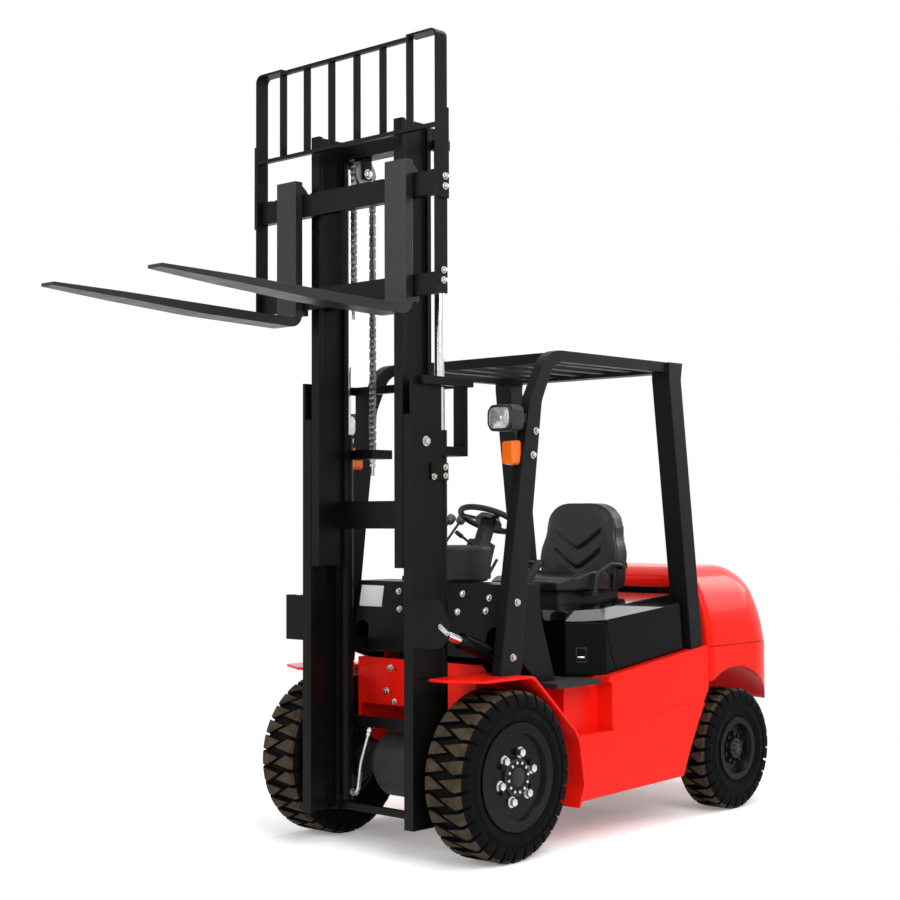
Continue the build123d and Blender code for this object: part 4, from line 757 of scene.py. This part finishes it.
def addLamps():
    low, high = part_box("headlamp_lenses")
    face = Vector((high.x - lamp["width"] / 2, high.y, (low.z + high.z) / 2))
    width, height = lamp["width"], high.z - low.z
    deep = lamp["rimDepth"]
    outer = 2 * lamp["rim"]

    def ring(ahead, share=1.0, grow=0.0):
        return roundedRing(face, width + grow, height + grow, lamp["corner"] + grow / 2, ahead, share)

    rim = bmesh.new()
    stackRings(rim, [ring(ahead, grow=grow) for grow, ahead in
                     ((outer - 0.002, 0), (outer, 0.003), (outer, deep - 0.004), (outer - 0.006, deep), (0.004, deep),
                      (0, deep - 0.003), (0, 0), (outer - 0.002, 0))], cap=False)
    addBothSides("lampRims", rim, ["trimBlack"], "truck")
    bowl = bmesh.new()
    stackRings(bowl, [ring(lamp["bowl"] * share ** 2 + lamp["bowlGap"], share)
                      for share in (1, 0.9, 0.75, 0.6, 0.45, 0.3, 0.15)])
    lathe(bowl, [(-0.002, lamp["bulb"]), (0.002, lamp["bulb"]), (0.005, 0.7 * lamp["bulb"]), (0.0055, 0)], face,
          (0, -1, 0), 24)
    addBothSides("lampBowls", bowl, ["chrome"], "truck")
    glass = bmesh.new()
    edge = high.y - low.y
    shares = (1, 0.85, 0.7, 0.5, 0.3, 0.1)
    stackRings(glass, [ring(edge - lamp["glass"] + lamp["dome"] * (1 - s * s), s) for s in reversed(shares)]
               + [ring(edge + lamp["dome"] * (1 - s * s), s) for s in shares])
    bmesh.ops.holes_fill(glass, edges=glass.edges, sides=0)
    addBothSides("lampGlasses", glass, ["lampGlass"], "truck", ["headlamp_lenses"])


addLamps()
print("lamps glazed")

# Bolts and small plates of the truck: cowl, front plate, guard legs
cowl = {"foot": (0.070, 0.825), "top": (0.125, 1.140), "bolt": (0.022, 0.010),
        "bolts": [(0.195, 1.096), (0.177, 1.017), (0.352, 1.083), (0.340, 1.027), (-0.195, 1.096), (-0.177, 1.017)],
        "plateX": (-0.437, -0.293), "plateZ": (1.022, 1.119), "plateThick": 0.003, "rivetIn": 0.008}
frontPlate = {"y": 0.020, "bolt": (0.024, 0.012), "hole": 0.006,
              "bolts": [(-0.154, 0.760), (-0.180, 0.656), (-0.132, 0.610), (0.154, 0.760), (0.180, 0.656)],
              "holes": [(-0.120, 0.752), (-0.146, 0.650)]}
guardLeg = {"x": 0.530, "bolt": (0.024, 0.011),
            "bolts": [(0.221, 1.800), (0.200, 1.696), (0.090, 1.070), (0.060, 0.840)]}


def onCowl(x, z):
    (y0, z0), (y1, z1) = cowl["foot"], cowl["top"]
    return spot(x, y0 + (z - z0) * (y1 - y0) / (z1 - z0), z)


def addTruckFittings():
    bm = bmesh.new()
    lean = Vector((0, cowl["foot"][1] - cowl["top"][1], cowl["top"][0] - cowl["foot"][0])).normalized()
    for x, z in cowl["bolts"]:
        hexBolt(bm, onCowl(x, z), lean, *cowl["bolt"])
    for x, z in frontPlate["bolts"]:
        hexBolt(bm, spot(x, frontPlate["y"], z), (0, -1, 0), *frontPlate["bolt"])
    for x, z in frontPlate["holes"]:
        lathe(bm, [(0, frontPlate["hole"]), (0.0008, frontPlate["hole"]), (0.0008, 0)], spot(x, frontPlate["y"], z),
              (0, -1, 0), 16, 1)
    for y, z in guardLeg["bolts"]:
        for side in (-1, 1):
            hexBolt(bm, spot(side * guardLeg["x"], y, z), (side, 0, 0), *guardLeg["bolt"])
    addPiece("truckBolts", bm, ["zinc", "castDark"], "truck")
    card = bmesh.new()
    (x0, x1), (z0, z1) = cowl["plateX"], cowl["plateZ"]
    turn = Vector((0, 0, 1)).rotation_difference(Vector((0, lean.z, -lean.y))).to_matrix().to_4x4()
    thick, rivetIn = cowl["plateThick"], cowl["rivetIn"]
    plate(card, onCowl((x0 + x1) / 2, (z0 + z1) / 2) + thick / 2 * lean, (x1 - x0, thick, z1 - z0), 0.001, turn)
    for x in (x0 + rivetIn, x1 - rivetIn):
        for z in (z0 + rivetIn, z1 - rivetIn):
            lathe(card, [(0, 0.004), (0.002, 0.0035), (0.003, 0)], onCowl(x, z) + thick * lean, lean, 12, 1)
    addPiece("blankPlate", card, ["whitePlate", "zinc"], "truck")


addTruckFittings()

# Latch in the front corner of the engine cover, lever knobs and the ribbed brake grip
latch = {"middle": (0.440, 0.637, 0.809), "size": (0.044, 0.010, 0.062), "frame": 0.006}
knobs = {"places": [(-0.300, 0.5765, 1.4183), (-0.230, 0.5765, 1.4183)], "ahead": (0, 270, 262),
         "profile": [(-0.024, 0.008), (-0.020, 0.0175), (-0.012, 0.0215), (0.014, 0.0225), (0.021, 0.020),
                     (0.024, 0.012), (0.025, 0)]}
brakeGrip = {"foot": (0.300, 0.338, 1.055), "ahead": (0, 135, 130), "from": 0.112, "to": 0.238, "ribs": 11,
             "low": 0.0165, "high": 0.0195}


def addCabFittings():
    bm = bmesh.new()
    turn = Matrix.Rotation(math.radians(45), 4, "Z")
    middle = spot(*latch["middle"])
    out = Vector((math.sqrt(0.5), -math.sqrt(0.5), 0))
    wide, thin, tall = latch["size"]
    frameWidth = latch["frame"]
    for x in (-0.5, 0.5):
        plate(bm, middle + turn @ Vector((x * wide, 0, 0)), (frameWidth, thin, tall + frameWidth), turn=turn)
    for z in (-0.5, 0.5):
        plate(bm, middle + Vector((0, 0, z * tall)), (wide, thin, frameWidth), turn=turn)
    plate(bm, middle - Vector((0, 0, 0.16 * tall)) + 0.002 * out, (wide - 0.010, 0.006, 0.008), turn=turn, index=1)
    addPiece("coverLatch", bm, ["trimBlack", "zinc"], "truck")
    grips = bmesh.new()
    for place in knobs["places"]:
        lathe(grips, knobs["profile"], spot(*place), knobs["ahead"], 32)
    addPiece("leverKnobs", grips, ["gripGrey"], "truck")
    sleeve = bmesh.new()
    first, last, low, high = (brakeGrip[key] for key in ("from", "to", "low", "high"))
    step = (last - first) / (2 * brakeGrip["ribs"])
    profile = [(first - 0.004, 0.010), (first, low)]
    for rib in range(brakeGrip["ribs"]):
        start = first + 2 * rib * step
        profile += [(start + share * step, radius)
                    for share, radius in ((0.3, low), (0.6, high), (1.4, high), (1.7, low))]
    profile += [(last, low), (last + 0.008, 0.012), (last + 0.010, 0)]
    lathe(sleeve, profile, spot(*brakeGrip["foot"]), brakeGrip["ahead"], 28)
    addPiece("brakeSleeve", sleeve, ["trimBlack"], "truck")


addCabFittings()

# Mast fittings: side clips with bolts, chain anchors, tilt pin keepers, the oil pipe's bright sleeve
clip = {"y": (-0.237, -0.132), "z": (1.586, 1.659), "x": 0.335, "thick": 0.010,
        "bolts": [(-0.150, 1.640), (-0.150, 1.605), (-0.222, 1.600)], "bolt": (0.020, 0.010),
        "railBolts": [(-0.260, 1.748)], "railBolt": (0.030, 0.014, 1.45)}
anchor = {"x": 0.150, "backY": -0.0915, "backZ": 1.690, "frontY": -0.2085, "frontZ": 2.376, "length": 0.075,
          "rod": 0.008, "nut": 0.026}
keeper = {"x": 0.444, "pin": (-0.280, 0.970), "size": (0.006, 0.064, 0.022), "turn": -35, "bolt": (0.016, 0.008),
          "boltOff": 0.026}
oilPipe = {"points": [(-0.258, -0.125, 0.218), (-0.215, -0.125, 0.218), (-0.215, -0.1046, 0.3476),
                      (-0.180, -0.0803, 0.503)], "radius": 0.0096, "bend": 0.028}


def anchorRod(bm, x, y, z, index=0):
    bar(bm, [spot(x, y, z + 0.002), spot(x, y, z - anchor["length"])], anchor["rod"], sides=12, index=index)
    for step in (0.0, 0.02):
        hexBolt(bm, spot(x, y, z - step), (0, 0, -1), anchor["nut"], 0.014, 0 if step else 1.3, index)


def addMastFittings():
    bm = bmesh.new()
    middle = spot(clip["x"] + clip["thick"] / 2, sum(clip["y"]) / 2, sum(clip["z"]) / 2)
    plate(bm, middle, (clip["thick"], clip["y"][1] - clip["y"][0], clip["z"][1] - clip["z"][0]))
    for y, z in clip["bolts"]:
        hexBolt(bm, spot(clip["x"] + clip["thick"], y, z), (1, 0, 0), *clip["bolt"], index=1)
    for y, z in clip["railBolts"]:
        hexBolt(bm, spot(clip["x"], y, z), (1, 0, 0), *clip["railBolt"], index=1)
    y, z = keeper["pin"]
    turn = Matrix.Rotation(math.radians(keeper["turn"]), 4, "X")
    thick = keeper["size"][0]
    plate(bm, spot(keeper["x"] + thick / 2, y, z), keeper["size"], turn=turn, index=1)
    for end in (-1, 1):
        place = spot(keeper["x"] + thick, y, z) + turn @ Vector((0, end * keeper["boltOff"], 0))
        hexBolt(bm, place, (1, 0, 0), *keeper["bolt"], index=1)
    anchorRod(bm, anchor["x"], anchor["backY"], anchor["backZ"], 1)
    addBothSides("mastFittings", bm, ["mastBlack", "zinc"], "mast_outer")
    pipe = bmesh.new()
    points = [spot(*point) for point in oilPipe["points"]]
    bar(pipe, points, oilPipe["radius"], oilPipe["bend"])
    for here, there in ((points[0], points[1]), (points[-1], points[-2])):
        ahead = (there - here).normalized()
        for push, size in ((0.004, 0.034), (0.022, 0.029)):
            hexBolt(pipe, here + push * ahead, ahead, size, 0.014, 0)
    addPiece("oilPipe", pipe, ["zinc"], "mast_outer")
    rods = bmesh.new()
    anchorRod(rods, anchor["x"], anchor["frontY"], anchor["frontZ"])
    addBothSides("carriageAnchors", rods, ["zinc"], "carriage")


addMastFittings()

# Chain wheel bolts, backrest bolts, and a bright lock pin at each fork hook
wheelBolt = {"x": (0.119, 0.181), "bolt": (0.034, 0.012, 1.3)}
backrest = {"y": -0.385, "bolt": (0.022, 0.011),
            "bolts": [(0.565, 2.808), (0.565, 2.767), (0.555, 2.428), (0.555, 2.387)]}
forkLock = {"x": 0.0, "y": -0.386, "z": 2.8735, "pin": 0.009, "rise": 0.030, "handle": 0.034}


def addCarriageFittings():
    low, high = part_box("chain_wheels")
    middle = (low + high) / 2
    bm = bmesh.new()
    for x, side in zip(wheelBolt["x"], (-1, 1)):
        hexBolt(bm, Vector((x, middle.y, middle.z)), (side, 0, 0), *wheelBolt["bolt"])
    addBothSides("wheelBolts", bm, ["zinc"], "mast_inner")
    bm = bmesh.new()
    for x, z in backrest["bolts"]:
        hexBolt(bm, spot(x, backrest["y"], z), (1, 0, 0), *backrest["bolt"])
    addBothSides("restBolts", bm, ["zinc"], "carriage")
    for side in ("left", "right"):
        low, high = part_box("fork_" + side)
        outward = 1 if side == "left" else -1
        foot = Vector(((low.x + high.x) / 2 + outward * forkLock["x"], forkLock["y"] + frontAxle, forkLock["z"]))
        bm = bmesh.new()
        lathe(bm, [(-0.004, 0.016), (0.006, 0.016), (0.008, forkLock["pin"]), (forkLock["rise"], forkLock["pin"]),
                   (forkLock["rise"] + 0.003, 0.006), (forkLock["rise"] + 0.003, 0)], foot, (0, 0, 1), 24)
        top = foot + Vector((0, 0, forkLock["rise"] - 0.006))
        bar(bm, [top, top + Vector((outward * forkLock["handle"], 0, 0.004)),
                 top + Vector((outward * forkLock["handle"], 0, -0.022))], 0.005, 0.010, 10)
        addPiece("forkLock_" + side, bm, ["zinc"], "fork_" + side)


addCarriageFittings()
print("fittings on")

# Camera, as fitted to the photograph: metres, degrees, lens for a 36 mm sensor
photoView = {"place": (5.0604, -5.5049, 1.4350), "azimuth": 42.744, "elevation": -2.214, "roll": -0.194,
             "lens": 65.995, "shiftX": 0.0016, "shiftY": 0.0027}


def addCamera():
    azimuth = math.radians(photoView["azimuth"])
    elevation = math.radians(photoView["elevation"])
    ahead = Vector((-math.sin(azimuth) * math.cos(elevation), math.cos(azimuth) * math.cos(elevation),
                    -math.sin(elevation)))
    right = Vector((math.cos(azimuth), math.sin(azimuth), 0))
    turn = Matrix((right, right.cross(ahead), -ahead)).transposed().to_4x4()
    turn = turn @ Matrix.Rotation(math.radians(photoView["roll"]), 4, "Z")
    camera = bpy.data.objects.new("photoCamera", bpy.data.cameras.new("photoCamera"))
    camera.matrix_world = Matrix.Translation(photoView["place"]) @ turn
    camera.data.lens = photoView["lens"]
    camera.data.shift_x = photoView["shiftX"]
    camera.data.shift_y = photoView["shiftY"]
    camera.data.clip_end = 200
    bpy.context.scene.collection.objects.link(camera)
    bpy.context.scene.camera = camera


# Soft boxes with size and watts, turned to one aim; a floor that fades to white away from the truck
softBoxes = {
    "keyBox": {"place": (5.5, -2.5, 5.2), "size": 4.5, "watts": 400},
    "frontBox": {"place": (-1.8, -7.0, 4.0), "size": 4.0, "watts": 230},
    "topBox": {"place": (0.5, 0.5, 7.5), "size": 5.0, "watts": 330},
    "rearBox": {"place": (2.0, 7.0, 4.5), "size": 4.0, "watts": 200},
}
studio = {"aim": (0, 0, 1.0), "sky": 0.38, "floorShade": 0.9, "floorGlow": 0.22, "floorSize": 60, "fadeFrom": 1.9,
          "fadeTo": 3.6}


# 1 where the camera sees a thing, straight or in metal and glass
def seenDirectly(tree):
    rays = [tree.make("LightPath", out=kind) for kind in ("Is Camera Ray", "Is Glossy Ray", "Is Transmission Ray")]
    return tree.maths("MINIMUM", rays[0] + rays[1] + rays[2], 1)


def addSoftBoxes():
    for name, box in softBoxes.items():
        light = bpy.data.lights.new(name, "AREA")
        light.size = box["size"]
        light.energy = box["watts"]
        softBox = bpy.data.objects.new(name, light)
        softBox.location = box["place"]
        softBox.rotation_euler = (Vector(studio["aim"]) - softBox.location).to_track_quat("-Z", "Y").to_euler()
        bpy.context.scene.collection.objects.link(softBox)


def addBackdrop():
    world = bpy.data.worlds.new("studio")
    tree = emptyTree(world)
    strength = span(tree, seenDirectly(tree), 0, 1, studio["sky"], 1.0)
    backdrop = tree.make("Background", None, {"Color": (1, 1, 1, 1), "Strength": strength})
    tree.make("OutputWorld", None, {"Surface": backdrop})
    bpy.context.scene.world = world


def addFloor():
    bm = bmesh.new()
    bmesh.ops.create_grid(bm, x_segments=1, y_segments=1, size=studio["floorSize"] / 2)
    mesh = bpy.data.meshes.new("floor")
    bm.to_mesh(mesh)
    bm.free()
    floor = bpy.data.objects.new("floor", mesh)
    bpy.context.scene.collection.objects.link(floor)
    material = bpy.data.materials.new("paleFloor")
    tree = emptyTree(material)
    shade = studio["floorShade"]
    matte = tree.make("BsdfDiffuse", None, {"Color": (shade, shade, shade, 1)})
    glow = tree.make("Emission", None, {"Color": (1, 1, 1, 1), "Strength": studio["floorGlow"]})
    white = tree.make("Emission", None, {"Color": (1, 1, 1, 1), "Strength": 1.0})
    away = tree.make("VectorMath", {"operation": "LENGTH"}, {0: tree.make("TexCoord", out="Object")}, "Value")
    near = tree.make("AddShader", None, {0: matte, 1: glow})
    fade = span(tree, away, studio["fadeFrom"], studio["fadeTo"])
    shown = tree.make("MixShader", None, {0: fade, 1: near, 2: white})
    surface = tree.make("MixShader", None, {0: seenDirectly(tree), 1: matte, 2: shown})
    tree.make("OutputMaterial", None, {"Surface": surface})
    mesh.materials.append(material)


addCamera()
addSoftBoxes()
addBackdrop()
addFloor()
bpy.context.scene.view_settings.view_transform = "Standard"
print("camera and studio set")
